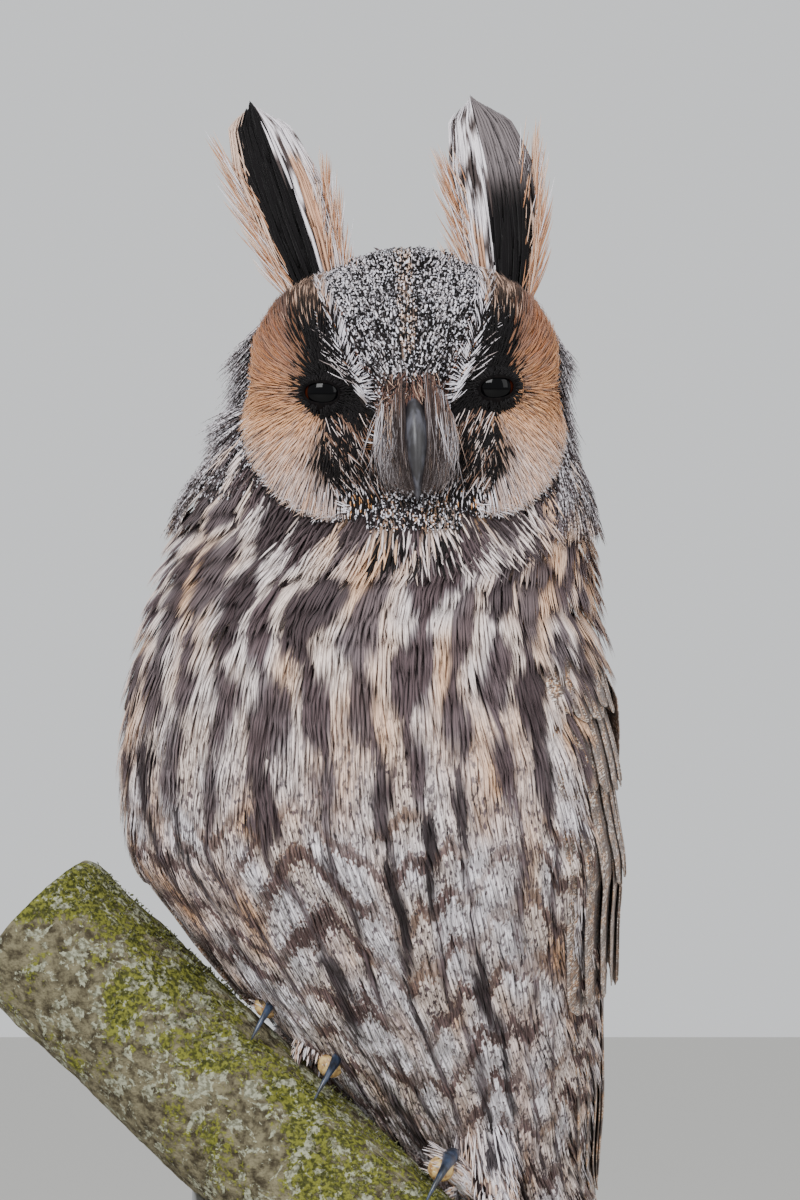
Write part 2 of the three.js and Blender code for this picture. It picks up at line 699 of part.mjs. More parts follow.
const COLOURS = { plumage: "#8a7765", flight: "#6d5c4d", tuft: "#2d2622", toes: "#cdb38a", horn: "#262a30" };

const tailRoom = makeTail(GAP);
place("tail", largest(makeTail(0).subtract(besideTorso)), COLOURS.flight, 0.85);
for (const [name, side] of [["right", -1], ["left", 1]]) {
  const eyeMiddle = onHead(side * EYE.side, EYE.back, EYE.up);
  const lidInside = EYE.radius + GAP;
  const opening = ball(eyeMiddle.clone().addScaledVector(FACE, 9), EYE.slitWidth / 2, 9, EYE.slit / 2);
  const lids = ball(eyeMiddle, lidInside + EYE.lid).subtract(ball(eyeMiddle, lidInside));
  place(`eye_${name}`, ball(eyeMiddle, EYE.radius), "#0c0705", 0.05);
  place(`lids_${name}`, lids.subtract(opening), "#1d1715", 0.8);
  head = head.subtract(ball(eyeMiddle, lidInside + EYE.lid + GAP));
  place(`ear_tuft_${name}`, makeTuft(TUFTS[name], besideHead), COLOURS.tuft, 0.9);

  const foot = FEET[name];
  const rooms = [besideTorso, tailRoom, makeFoot(foot, GAP)];
  place(`wing_${name}`, makeWing(side, rooms), COLOURS.flight, 0.85);
  const leg = makeLeg(foot, 0);
  let toes = makeFoot(foot, 0).subtract(branchRoom).subtract(makeLeg(foot, 1.4 * GAP));
  for (const toe of TOES) {
    place(`claw_${name}_${toe.name}`, makeClaw(foot, toe, 0), COLOURS.horn, 0.3);
    toes = toes.subtract(makeClaw(foot, toe, GAP));
    torso = torso.subtract(makeClaw(foot, toe, GAP));
  }
  place(`leg_${name}`, leg, COLOURS.toes, 0.9);
  place(`foot_${name}`, largest(toes), COLOURS.toes, 0.9);
  torso = torso.subtract(makeLeg(foot, 1.4 * GAP)).subtract(makeFoot(foot, GAP));
}
place("head", largest(head), COLOURS.plumage, 0.9);
place("neck", neck, COLOURS.plumage, 0.9);
place("torso", largest(torso), COLOURS.plumage, 0.9);
place("bill_upper", largest(makeUpperBill(0).subtract(makeNostrils())), COLOURS.horn, 0.35);
place("bill_lower", largest(lowerBill), COLOURS.horn, 0.35);
place("perch_branch", branch, "#6f7256", 0.95);
place("stand_base", makeBase(), "#5a4433", 0.5);
place("stand_rod_upper", makeRod(RODS.upperX), "#b0aca4", 0.35, 0.8);
place("stand_rod_lower", makeRod(RODS.lowerX), "#b0aca4", 0.35, 0.8);

export default owl;
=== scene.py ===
# %% [markdown]
# # A long-eared owl on a branch
# The solids of this owl are already made. Here they get their looks: a skin under the
# coat, 1,355 feathers and some 38,000 tufts and hairs as real mesh, wet eyes, horn, bark and a
# studio. The frame gives the solids in metres, and all sizes below are in millimetres.

# %% Load the frame
import math

import bmesh
import bpy
import numpy as np
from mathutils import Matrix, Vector


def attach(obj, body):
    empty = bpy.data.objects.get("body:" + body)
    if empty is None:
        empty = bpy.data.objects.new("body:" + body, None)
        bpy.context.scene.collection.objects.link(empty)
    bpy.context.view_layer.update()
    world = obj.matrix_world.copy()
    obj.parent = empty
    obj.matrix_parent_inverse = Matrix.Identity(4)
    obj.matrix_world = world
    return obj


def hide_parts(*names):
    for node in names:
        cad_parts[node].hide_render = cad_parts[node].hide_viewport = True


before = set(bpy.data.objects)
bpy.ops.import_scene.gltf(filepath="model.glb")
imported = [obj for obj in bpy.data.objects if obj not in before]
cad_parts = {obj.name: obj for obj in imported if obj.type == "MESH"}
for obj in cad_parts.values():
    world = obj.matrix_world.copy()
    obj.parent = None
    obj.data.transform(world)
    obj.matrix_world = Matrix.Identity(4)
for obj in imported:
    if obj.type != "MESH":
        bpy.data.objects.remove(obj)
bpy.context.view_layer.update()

MM = 0.001
draw = np.random.default_rng(11)

# %% [markdown]
# ## The shape under everything
# A bird's outline is its plumage, not its body, so one function gives the plumage's surface: an
# angle round the owl, a height and a depth under the surface. It repeats the solids' own sizes, so
# that whatever is set on it lies where they lie. Sculpting would be freer, but feathers have to be
# placed by the thousand, and only a function can say where each one goes.

# %% The plumage's sizes at each height
BODY_TURN = math.radians(25)
BACK_POWER = 2.1  # 2 is an ellipse, more is squarer
LEVELS = np.array([  # height, middle x, middle y, half width, half depth
    (371.3, 2.6, -28, 0.8, 0.8), (370, 2.6, -28, 10, 10), (367, 2.4, -28, 18, 17),
    (361, 1.6, -28, 30, 27), (354, 1.3, -28, 37.5, 34), (344, 1.2, -28, 41.5, 38.5),
    (332, 0.8, -27, 42.5, 39.5), (320, -1.2, -25, 47.5, 41), (308, -2.8, -23.5, 53.5, 44),
    (296, -4.2, -22, 58, 47.5), (276, -6.9, -21, 62.6, 52.5), (252, -8, -19, 67, 56),
    (230, -7.6, -16.5, 69.2, 57), (210, -6, -13, 69, 56), (190, 0, -7, 61, 52),
    (165, 10, 2, 49, 47), (145, 18, 10, 40, 41), (115, 27, 25, 29, 29),
    (60, 34, 58, 28, 12), (18, 39, 76, 26, 7),
])[::-1]


def smooth(value, low, high):
    t = np.clip((value - low) / (high - low), 0, 1)
    return t * t * (3 - 2 * t)


def mix(a, b, t):
    return a + (b - a) * t


def level_table(column):
    """A curve without overshoot through the levels, as a table over fine heights."""
    z, v = LEVELS[:, 0], LEVELS[:, column]
    slope = np.diff(v) / np.diff(z)
    tangent = np.zeros(len(z))
    before, after = slope[:-1], slope[1:]
    even = before * after > 0
    tangent[1:-1][even] = (2 * before * after)[even] / (before + after)[even]
    tangent[0], tangent[-1] = slope[0], slope[-1]
    i = np.clip(np.searchsorted(z, FINE_Z) - 1, 0, len(z) - 2)
    h = z[i + 1] - z[i]
    t = (FINE_Z - z[i]) / h
    bend = t * (1 - t) * h * ((1 - t) * tangent[i] - t * tangent[i + 1])
    return mix(v[i], v[i + 1], t * t * (3 - 2 * t)) + bend


TOP, HIGHEST_SITE = 371.2, 371.0  # just under the top of the crown
FINE_Z = np.linspace(LEVELS[0, 0], LEVELS[-1, 0], 2800)
TABLE = {key: level_table(k + 1) for k, key in enumerate("xywd")}
print("the plumage reaches from", FINE_Z[0], "to", FINE_Z[-1], "mm, half as wide as",
      TABLE["w"].max().round(1), "mm at most")

# %% The plumage's surface
def section(z):
    """Turn, middle, half width, half depth and squareness of the plumage at a height."""
    turn = BODY_TURN * (1 - smooth(z, 265, 330))
    x, y, w, depth = (np.interp(z, FINE_Z, TABLE[key]) for key in "xywd")
    half = np.sqrt(np.maximum(w**2 - (depth * np.sin(turn)) ** 2, 0.3)) / np.cos(turn)
    return turn, x, y, half, depth, mix(2.15, 2.9, smooth(z, 290, 322))


def beside(turn, x, y, left, back, z):
    """The point that lies so far to the left and to the back of the middle of a section."""
    return np.stack([x + left * np.cos(turn) + back * np.sin(turn),
                     y - left * np.sin(turn) + back * np.cos(turn), z], axis=-1)


def plumage(angle, z, inset=0.0):
    """Angle 0 is the breast, a quarter turn the owl's left side and a half turn its back."""
    angle, z, inset = np.broadcast_arrays(angle, z, inset)
    turn, x, y, half, depth, square = section(z)
    power = 2 / np.where(np.cos(angle) > 0, square, BACK_POWER)
    left = np.maximum(0.5, half - inset) * np.sign(np.sin(angle)) * abs(np.sin(angle)) ** power
    back = -np.maximum(0.5, depth - inset) * np.sign(np.cos(angle)) * abs(np.cos(angle)) ** power
    return beside(turn, x, y, left, back, z)


def angle_of(points):
    """The angle round the owl at which a point lies."""
    turn, x, y, half, depth, square = section(points[..., 2])
    dx, dy = points[..., 0] - x, points[..., 1] - y
    left = (dx * np.cos(turn) - dy * np.sin(turn)) / half
    back = (dx * np.sin(turn) + dy * np.cos(turn)) / depth
    power = np.where(back < 0, square, BACK_POWER) / 2
    return np.arctan2(np.sign(left) * abs(left) ** power, -np.sign(back) * abs(back) ** power)


print("the middle of the breast lies at", plumage(0.0, 230.0).round(1))

# %% [markdown]
# ## The face
# The face has its own frame, which leans with the head. Two shallow bowls are pressed into its
# front, and a soft ridge runs down between them over the root of the bill. Smooth steps blend them,
# because on the bird they are feathers over one skull and not cuts.

# %% The head's frame
HEAD_MIDDLE = np.array([1.6, -28.0, 332.0])
HEAD_ROLL = math.radians(1.6)
ROLL = np.array([[math.cos(HEAD_ROLL), 0, -math.sin(HEAD_ROLL)], [0, 1, 0],
                 [math.sin(HEAD_ROLL), 0, math.cos(HEAD_ROLL)]])
FACE_YAW = 0.045  # the bill points a little to the owl's left
FACE_LOW = 296
DISC_MIDDLE, DISC_HALF = (21, -0.5), (22.5, 34, 31)  # half: across, upwards and downwards
BOWL_MIDDLE, BOWL_HALF = (23, -3), (22.5, 31)
BOWL_RIM, BOWL_DEPTH = -75.5, 42  # y at a bowl's border, and how deep it is pressed in
RIDGE = np.array([(-29, -39.5, 8), (-22, -43, 9), (-13, -45.5, 9), (-4, -45.5, 8.5),
                  (6, -44, 8.5), (17, -41.5, 10), (27, -37, 12)])  # height, front, half width


def on_head(x, y, z):
    """A place given in the head's frame, in millimetres from its middle."""
    x, y, z = np.broadcast_arrays(*(np.asarray(v, float) for v in (x, y, z)))
    x = x + FACE_YAW * np.clip(-y - 14, 0, 40)
    return np.stack([x, y, z], axis=-1) @ ROLL.T + HEAD_MIDDLE


def in_head(points):
    """The inverse of on_head."""
    local = (points - HEAD_MIDDLE) @ ROLL
    local[..., 0] -= FACE_YAW * np.clip(-local[..., 1] - 14, 0, 40)
    return local


def rim_of(local):
    """1 on the border of the facial discs, less inside them."""
    x, z = abs(local[..., 0]), local[..., 2]
    across, up, down = DISC_HALF
    return (((x - DISC_MIDDLE[0]) / across) ** 2
            + ((z - DISC_MIDDLE[1]) / np.where(z > 0, up, down)) ** 2)


def facing(local):
    """True on the discs and on the chin between them."""
    chin = (abs(local[..., 0]) < 13) & (local[..., 2] > -36)
    return (local[..., 1] < 0) & ((rim_of(local) < 1.12) | chin)


# %% The bowls and the ridge, pressed into the plumage
def soft_max(a, b, width):
    h = np.maximum(width - abs(a - b), 0) / width
    return np.maximum(a, b) + h * h * width / 4


def face_front(local, inset):
    """Presses the bowls into points of the head's front and raises the ridge between them."""
    x, y, z = np.moveaxis(local, -1, 0)
    front = smooth(-y, 4, 16)
    shaped = y
    for side in (-1, 1):
        from_middle = (x - side * BOWL_MIDDLE[0]) / BOWL_HALF[0], (z - BOWL_MIDDLE[1]) / BOWL_HALF[1]
        inside = 1 - from_middle[0] ** 2 - from_middle[1] ** 2
        bowl = BOWL_RIM + BOWL_DEPTH * np.sqrt(np.maximum(inside, 0)) + inset
        shaped = np.where(inside > 0, soft_max(shaped, bowl, 2.0), shaped)
    ridge_y, ridge_w = (np.interp(z, RIDGE[:, 0], RIDGE[:, k]) for k in (1, 2))
    ends = smooth(z, -33, -25) * (1 - smooth(z, 22, 33))
    top = ridge_y + inset + 6 - 6 * np.sqrt(np.maximum(1 - (x / ridge_w) ** 2, 0)) + 14 * (1 - ends)
    shaped = -soft_max(-shaped, np.where(abs(x) < ridge_w, -top, -99), 2.5)
    return mix(y, shaped, front)


def coat(angle, z, inset=0.0):
    """The plumage's surface with the face in it."""
    points = plumage(angle, z, inset)
    local = in_head(points)
    on_face = (points[..., 2] > FACE_LOW) & (local[..., 1] < -4)
    local[..., 1] = np.where(on_face, face_front(local, inset), local[..., 1])
    return np.where(on_face[..., None], on_head(*np.moveaxis(local, -1, 0)), points)


def unit(v):
    return v / np.maximum(np.linalg.norm(v, axis=-1, keepdims=True), 1e-9)


def frame_on(angle, z, inset=0.0, step=0.6):
    """Point, outward direction and the way up the body there."""
    reach = step / np.maximum(section(z)[3], 3)
    around = coat(angle + reach, z, inset) - coat(angle - reach, z, inset)
    up = coat(angle, np.minimum(z + step, TOP), inset) - coat(angle, z - step, inset)
    return coat(angle, z, inset), unit(np.cross(around, up)), unit(up)


print("the face's front lies at", coat(np.array([0.0]), np.array([332.0]))[0].round(1))

# %% [markdown]
# ## Meshes from arrays
# A feather coat is the same small form many times over. Each lock is a closed strip of three
# corners, two edges and a raised spine, which runs through a row of stations. All locks of a piece
# are computed at once as arrays, which is thousands of times faster than one by one. Every lock
# has its own small patch on the piece's map, so that baked colours don't run from one to the next.

# %% Closed pieces
def into_scene(name, data):
    made = bpy.data.objects.new(name, data)
    bpy.context.scene.collection.objects.link(made)
    return made


def new_mesh(name, points):
    mesh = bpy.data.meshes.new(name)
    mesh.vertices.add(len(points))
    mesh.vertices.foreach_set("co", (np.asarray(points) * MM).astype(np.float32).ravel())
    return mesh


def new_piece(name, points, quads, triangles=None):
    mesh = new_mesh(name, points)
    faces = [np.asarray(quads, np.int32).reshape(-1, 4)]
    if triangles is not None:
        faces.append(np.asarray(triangles, np.int32).reshape(-1, 3))
    corners = np.concatenate([f.ravel() for f in faces])
    sizes = np.concatenate([np.full(len(f), f.shape[1], np.int32) for f in faces])
    starts = np.concatenate([[0], np.cumsum(sizes)[:-1]]).astype(np.int32)
    mesh.loops.add(len(corners))
    mesh.loops.foreach_set("vertex_index", corners)
    mesh.polygons.add(len(sizes))
    mesh.polygons.foreach_set("loop_start", starts)
    mesh.update(calc_edges=True)
    mesh.shade_smooth()
    return into_scene(name, mesh)


def points_of(piece):
    return np.array([v.co for v in piece.data.vertices]) / MM


def triangles_in(piece):
    return sum(len(p.vertices) - 2 for p in piece.data.polygons)


def outward_volume(piece):
    work = bmesh.new()
    work.from_mesh(piece.data)
    volume = work.calc_volume(signed=True)
    work.free()
    return volume


def face_out(piece):
    """Turns a closed piece's faces outwards."""
    if outward_volume(piece) < 0:
        piece.data.flip_normals()


def quads_between(low, high, sides):
    """Quads between closed rings of corners that start at low and those that start at high."""
    k = np.arange(sides)
    return np.stack([low + k, low + (k + 1) % sides,
                     high + (k + 1) % sides, high + k], axis=-1).reshape(-1, 4)


# %% Attributes, the map for baking, and locks
KINDS = {"own": ("FLOAT", "value"), "moss": ("FLOAT", "value"), "marks": ("FLOAT_COLOR", "color")}


def put(mesh, name, values):
    """Stores values for all points under a name. What isn't in the list above is a vector."""
    kind, field = KINDS.get(name, ("FLOAT_VECTOR", "vector"))
    layer = mesh.attributes.new(name, kind, "POINT")
    layer.data.foreach_set(field, np.asarray(values, np.float32).ravel())


def put_patches(mesh, per_point):
    """Every tuft's own small patch on the unwrapped skin, for the baked colours."""
    corners = np.zeros(len(mesh.loops), np.int32)
    mesh.loops.foreach_get("vertex_index", corners)
    layer = mesh.uv_layers.new(name="OFBake")
    layer.data.foreach_set("uv", per_point[corners].astype(np.float32).ravel())


PATCH = 0.003  # the size of a tuft's patch, as a share of the map


def spread_out(values):
    """Values from 0.01 to 0.99 in place of whatever range they had."""
    low, high = values.min(), values.max()
    return 0.01 + 0.98 * (values - low) / max(high - low, 1e-6)


def unwrap(a, b):
    """Places on the map for tufts that are spread over two measures."""
    return np.stack([spread_out(a), spread_out(b)], 1)


def locks(name, path, out, width, thick, marks, own, unwrapped):
    """Tapered closed locks. path and out are n x m x 3, width and thick n x m, marks n x m x 4."""
    n, m = path.shape[:2]
    ahead = unit(np.gradient(path, axis=1))
    across = unit(np.cross(out, ahead))
    over = np.cross(ahead, across)
    half = across * (width / 2)[..., None]
    ring = np.stack([path + half, path + over * thick[..., None], path - half], axis=2)
    start = (np.arange(n * m) * 3).reshape(n, m)
    quads = quads_between(start[:, :-1, None], start[:, 1:, None], 3)
    root, tip = start[:, :1], start[:, -1:]
    ends = np.concatenate([np.concatenate([root + 2, root + 1, root], 1),
                           np.concatenate([tip, tip + 1, tip + 2], 1)])
    piece = new_piece(name, ring.reshape(-1, 3), quads, ends)
    along = np.broadcast_to(np.linspace(0, 1, m)[None, :, None], (n, m, 3))
    side = np.broadcast_to(np.array([1.0, 0.0, -1.0]), (n, m, 3))
    put(piece.data, "marks", np.repeat(marks[:, :, None, :], 3, axis=2))
    put(piece.data, "lock", np.stack([side, along, 0 * side], axis=-1))
    put(piece.data, "own", np.repeat(own, 3 * m))
    put_patches(piece.data, np.stack([unwrapped[:, None, None, 0] + side * PATCH / 2,
                                      unwrapped[:, None, None, 1] + (along - 0.5) * PATCH],
                                     axis=-1).reshape(-1, 2))
    return piece


# %% [markdown]
# ## Where feathers grow
# Feathers grow in staggered rows, like roof tiles. The rows are laid out at equal steps down the
# body, and the sites at equal steps round each row, each moved a little at random.

# %% Sites in staggered rows
def sites(top, low, spacing, jitter=0.25):
    """Angles and heights of sites round the whole owl."""
    heights = np.linspace(top, low, 900)
    run = np.zeros(900)
    for a in (0, math.pi / 2, math.pi, -math.pi / 2):
        run[1:] += np.linalg.norm(np.diff(plumage(a, heights), axis=0), axis=1).cumsum() / 4
    rows = np.interp(np.arange(0.5, run[-1] / spacing) * spacing, run, heights)
    around = np.linspace(-math.pi, math.pi, 240)
    found = []
    for i, z in enumerate(rows):
        length = np.linalg.norm(np.diff(plumage(around, z), axis=0), axis=1).cumsum()
        count = max(3, round(length[-1] / spacing))
        at = (np.arange(count) + 0.5 * (i % 2) + jitter * draw.uniform(-1, 1, count)) / count
        angle = np.interp((at % 1) * length[-1], np.concatenate([[0], length]), around)
        drop = abs(rows[min(i + 1, len(rows) - 1)] - rows[max(i - 1, 0)]) / 2
        found.append(np.stack([angle, z + jitter * drop * draw.uniform(-1, 1, count)], axis=1))
    angle, z = np.concatenate(found).T
    return angle, np.clip(z, low, HIGHEST_SITE)


# %% [markdown]
# ## Markings
# All plumage on this owl is made of four things laid over a pale ground: warm buff to rust, dark
# brown, white and black. One function paints them for the body, so the skin and the feathers on it
# agree. On a real feather the dark runs down the shaft and the pale lies along both edges. The
# columns of this field stand for such shafts, so a streak runs on from feather to feather.

# %% Noise and the columns of the pattern
COLUMNS = 30
STREAK = 26.0  # from one dark streak of a column to the next, in millimetres
BAR_STEP = 12.5
BREAST = (206, 244)  # the heights between which the belly's pattern gives way to the breast's
BACK = (1.45, 1.9)  # the angles between which the breast's pattern gives way to the back's


def chance_of(column, row, k):
    """A number from 0 to 1 that belongs to one streak."""
    v = np.sin(column * 127.1 + row * 311.7 + k * 74.7) * 43758.5453
    return v - np.floor(v)


def soft_noise(a, b, k):
    """Smooth noise of two coordinates, about -1 to 1."""
    i, j = np.floor(a), np.floor(b)
    s, t = smooth(a - i, 0, 1), smooth(b - j, 0, 1)
    low = mix(chance_of(i, j, k), chance_of(i + 1, j, k), s)
    high = mix(chance_of(i, j + 1, k), chance_of(i + 1, j + 1, k), s)
    return 2 * mix(low, high, t) - 1


def column_of(angle, z):
    """The column of a place, and how far it lies from the column's shaft line, 1 at its edge."""
    sway = angle + 0.07 * soft_noise(angle * 3, z / 19, 1) + 0.03 * soft_noise(angle * 14, z / 6, 2)
    place = sway * COLUMNS / (2 * math.pi)
    column = np.floor(place)
    shift = chance_of(column, 0, 6) - 0.5
    centre = 2 * (place - column) - 1 - 0.3 * shift - 0.1 * soft_noise(angle * 9, z / 9, 14)
    return column, centre


# %% Marks of the body, as a field over its surface
def body_marks(angle, z):
    """Dark, warm, white and black, from 0 to 1, at places of the body."""
    upper = smooth(z, *BREAST)
    back = smooth(abs(angle), *BACK)
    column, centre = column_of(angle, z)
    run = z / STREAK + chance_of(column, 0, 3)
    t = run - np.floor(run)  # 0 is the lower end of a streak
    wide, kind = chance_of(column, np.floor(run), 4), chance_of(column, np.floor(run), 5)
    ragged = 1 + 0.35 * soft_noise(angle * 16, z / 5, 13)
    blotch = (0.52 + 0.38 * wide) * smooth(t, -0.12, 0.3) * (1 - 0.8 * smooth(t, 0.7, 1.0)) * ragged
    line = (0.15 + 0.1 * wide) * (0.55 + 0.45 * smooth(t, 0, 0.3)) * ragged
    breadth = mix(mix(line, blotch, upper), (0.2 + 0.2 * wide) * ragged, back)
    streak = 1 - smooth(abs(centre), breadth - 0.12, breadth + 0.12)
    streak = streak * mix(0.78, 1.0, kind)
    patch = 0.5 + 0.5 * soft_noise(angle * 6, z / 20, 8)
    warm = mix(0.55 * smooth(patch, 0.55, 0.85), 0.04 + 0.43 * smooth(patch, 0.25, 0.85), upper)
    warm = mix(warm, 0.2 + 0.3 * patch, back)
    cloud = 0.5 + 0.5 * soft_noise(angle * 9, z / 12, 9)
    white = mix(0.35, 0.75, 1 - upper) * smooth(cloud, 0.2, 0.65)
    white = white * (1 - streak) * (1 - 0.75 * back) * (1 - 0.6 * warm)
    dark = np.maximum(streak, 0.45 * back * (1 - 0.5 * patch))
    black = mix(0.5, 0.22, upper) * streak * smooth(wide, 0.4, 0.95)
    return np.stack([dark, warm, white, black], axis=-1)


def body_bars(angle, z):
    """What the material needs for the cross-bars of flanks and belly: place in a step, and share."""
    centre = column_of(angle, z)[1]
    step = z / BAR_STEP - 0.32 * centre**2 + 1.4 * soft_noise(angle * 3.1, z / 70, 11)
    share = (1 - smooth(z, 200, 240)) * (1 - smooth(abs(angle), *BACK))
    share = share * (0.45 + 0.55 * smooth(soft_noise(angle * 7, z / 11, 12), -0.5, 0.3))
    return np.stack([abs(centre), step, share], axis=-1)


def paint(*marks):
    """Dark, warm, white and black, each one number or one for each place."""
    return np.stack(np.broadcast_arrays(*marks), -1)


def where(mask, a, b):
    return np.where(mask[..., None], a, b)


print("dark, warm, white and black in the middle of the breast:",
      body_marks(np.array(0.0), np.array(230.0)).round(2))

# %% [markdown]
# ## Materials for plumage
# One node group turns the four marks into a colour. It adds what a lens sees from near: fine hair
# lines along every lock, as relief and as painted shade in the colour, and small differences between
# neighbours. All coat materials use it, each with its own colours, so a change of tone is one number in
# one place.

# %% Node helpers
def srgb(r, g, b):
    """A colour as a painter reads it, 0 to 255, in linear light."""
    return tuple((v / 255 / 12.92) if v < 10.3 else ((v / 255 + 0.055) / 1.055) ** 2.4
                 for v in (r, g, b)) + (1.0,)


def feed(tree, socket, value):
    """Links a socket to another node, or sets its value."""
    if isinstance(value, bpy.types.NodeSocket):
        tree.links.new(value, socket)
    else:
        socket.default_value = value


def node(tree, kind, inputs=None, **settings):
    made = tree.nodes.new(kind)
    for key, value in settings.items():
        setattr(made, key, value)
    for key, value in (inputs or {}).items():
        feed(tree, made.inputs[key], value)
    return made


def math_node(tree, operation, a, b=0.0, clamp=False, c=0.0):
    made = node(tree, "ShaderNodeMath", {0: a, 1: b, 2: c}, operation=operation, use_clamp=clamp)
    return made.outputs[0]


def times(tree, a, b, clamp=False):
    return math_node(tree, "MULTIPLY", a, b, clamp)


def plus(tree, a, b):
    return math_node(tree, "ADD", a, b)


def minus(tree, a, b, clamp=False):
    return math_node(tree, "SUBTRACT", a, b, clamp)


def greater(tree, a, b):
    return math_node(tree, "MAXIMUM", a, b)


def by_eye(tree, share):
    """A share of dark as the eye judges it, since light itself adds up in another way."""
    return minus(tree, 1.0, math_node(tree, "POWER", minus(tree, 1.0, share, True), 2.2))


# %% Short names for nodes that come back
def ramp(tree, value, low, high):
    return node(tree, "ShaderNodeMapRange", {"Value": value, "From Min": low, "From Max": high},
                interpolation_type="SMOOTHSTEP").outputs["Result"]


def blend(tree, share, a, b):
    made = node(tree, "ShaderNodeMix", data_type="RGBA")
    for key, value in (("Factor_Float", share), ("A_Color", a), ("B_Color", b)):
        feed(tree, next(s for s in made.inputs if s.identifier == key), value)
    return next(s for s in made.outputs if s.identifier == "Result_Color")


def attribute(tree, name):
    return node(tree, "ShaderNodeAttribute", attribute_name=name).outputs


def split_xyz(tree, vector):
    return node(tree, "ShaderNodeSeparateXYZ", {"Vector": vector}).outputs


def join_xyz(tree, x, y, z):
    return node(tree, "ShaderNodeCombineXYZ", {"X": x, "Y": y, "Z": z}).outputs[0]


def own_place(tree):
    """The place of a point in its piece's own coordinates."""
    return node(tree, "ShaderNodeTexCoord").outputs["Object"]


def stretched(tree, vector, by):
    return node(tree, "ShaderNodeVectorMath", {0: vector, 1: by}, operation="MULTIPLY").outputs[0]


def noise(tree, place, scale, detail, **more):
    inputs = {"Vector": place, "Scale": scale, "Detail": detail, **more}
    return node(tree, "ShaderNodeTexNoise", inputs).outputs["Fac"]


# %% New node groups
COLOUR, FLOAT = "NodeSocketColor", "NodeSocketFloat"


def new_sockets(tree, way, rows):
    for label, kind, *value in rows:
        socket = tree.interface.new_socket(label, in_out=way, socket_type=kind)
        if value:
            socket.default_value = value[0]


def new_group(name, inputs):
    """A shader group that puts out a colour and a height."""
    group = bpy.data.node_groups.new(name, "ShaderNodeTree")
    new_sockets(group, "INPUT", inputs)
    new_sockets(group, "OUTPUT", [("Colour", COLOUR), ("Height", FLOAT)])
    return group, group.nodes.new("NodeGroupInput").outputs


def put_out(group, colour, value, height):
    """Ends a group: its colour, made lighter or darker by a value, and its height."""
    toned = node(group, "ShaderNodeHueSaturation", {"Color": colour, "Value": value})
    node(group, "NodeGroupOutput", {"Colour": toned.outputs["Color"], "Height": height})
    return group


# %% [markdown]
# The group reads the four marks that every tuft carries, its own random number, and its place. Dark
# is laid on as the eye judges it, since half the light still looks pale.

# %% The group for feather colours
def feather_group():
    group, given = new_group(
        "Feather colours",
        [("Pale", COLOUR, srgb(228, 211, 203)), ("Buff", COLOUR, srgb(222, 179, 144)),
         ("Rust", COLOUR, srgb(172, 98, 50)), ("Dark", COLOUR, srgb(89, 75, 78)),
         ("White", COLOUR, srgb(230, 229, 240)), ("Black", COLOUR, srgb(13, 11, 13)),
         ("Fleck", FLOAT, 0.12), ("Fleck below", FLOAT, 0.7), ("Salt", FLOAT, 0.0),
         ("Hair lines", FLOAT, 0.17)])
    marks = attribute(group, "marks")
    split = node(group, "ShaderNodeSeparateColor", {"Color": marks["Color"]}).outputs
    place = split_xyz(group, attribute(group, "lock")["Vector"])
    own = attribute(group, "own")["Fac"]
    spot = own_place(group)
    flecks = noise(group, stretched(group, spot, (1, 1, 0.5)), 950.0, 2.0)
    # Dark flecks are the owl's fine markings, but their share grows towards the bottom of the body,
    # which darkens the lower body as painted shade.
    below = ramp(group, split_xyz(group, spot)["Z"], 0.258, 0.215)
    bars = split_xyz(group, attribute(group, "bars")["Vector"])
    waver = times(group, minus(group, flecks, 0.5), 0.8)
    step = math_node(group, "FRACT", plus(group, bars["Y"], waver))
    from_bar = math_node(group, "ABSOLUTE", minus(group, step, 0.5))
    bar = times(group, ramp(group, from_bar, 0.21, 0.1), bars["Z"])
    share = plus(group, times(group, below, given["Fleck below"]), given["Fleck"])
    fleck = times(group, ramp(group, flecks, 0.53, 0.63), share, True)
    grains = noise(group, spot, 1350.0, 1.0)
    salt = times(group, ramp(group, grains, 0.57, 0.62), given["Salt"])
    pepper = times(group, ramp(group, grains, 0.51, 0.45), given["Salt"])
    warm = greater(group, split["Green"], times(group, bar, 0.75))
    colour = blend(group, times(group, warm, 2.0, True), given["Pale"], given["Buff"])
    rusty = math_node(group, "MULTIPLY_ADD", warm, 2.0, True, -1.0)
    colour = blend(group, rusty, colour, given["Rust"])
    dark = greater(group, greater(group, split["Red"], fleck), times(group, bar, 0.72))
    colour = blend(group, by_eye(group, dark), colour, given["Dark"])
    white = times(group, split["Blue"], minus(group, 1.0, bar))
    white = times(group, white, minus(group, 1.0, fleck))
    colour = blend(group, white, colour, given["White"])
    black = greater(group, marks["Alpha"], pepper)
    colour = blend(group, by_eye(group, black), colour, given["Black"])
    colour = blend(group, salt, colour, given["White"])
    # The hair lines raise the relief and also lighten and darken the colour by the same noise: painted
    # shade between the hairs.
    lines = join_xyz(group, times(group, place["X"], 2.6), times(group, place["Y"], 0.9),
                     times(group, own, 57.0))
    hair = noise(group, lines, 2.2, 3.0)
    shade = times(group, minus(group, hair, 0.5), times(group, given["Hair lines"], 3.2))
    tone = times(group, minus(group, own, 0.5), 0.1)
    return put_out(group, colour, plus(group, plus(group, shade, tone), 1.0), hair)


FEATHERS = feather_group()
print(FEATHERS.name, len(FEATHERS.nodes), "nodes")

# %% Materials, and the coats
def new_material(name, roughness=0.6, sheen=0.0, **sockets):
    material = bpy.data.materials.new(name)
    material.use_nodes = True
    shader = material.node_tree.nodes["Principled BSDF"]
    shader.inputs["Roughness"].default_value = roughness
    shader.inputs["Sheen Weight"].default_value = sheen
    for key, value in sockets.items():
        shader.inputs[key.replace("_", " ")].default_value = value
    return material, material.node_tree, shader


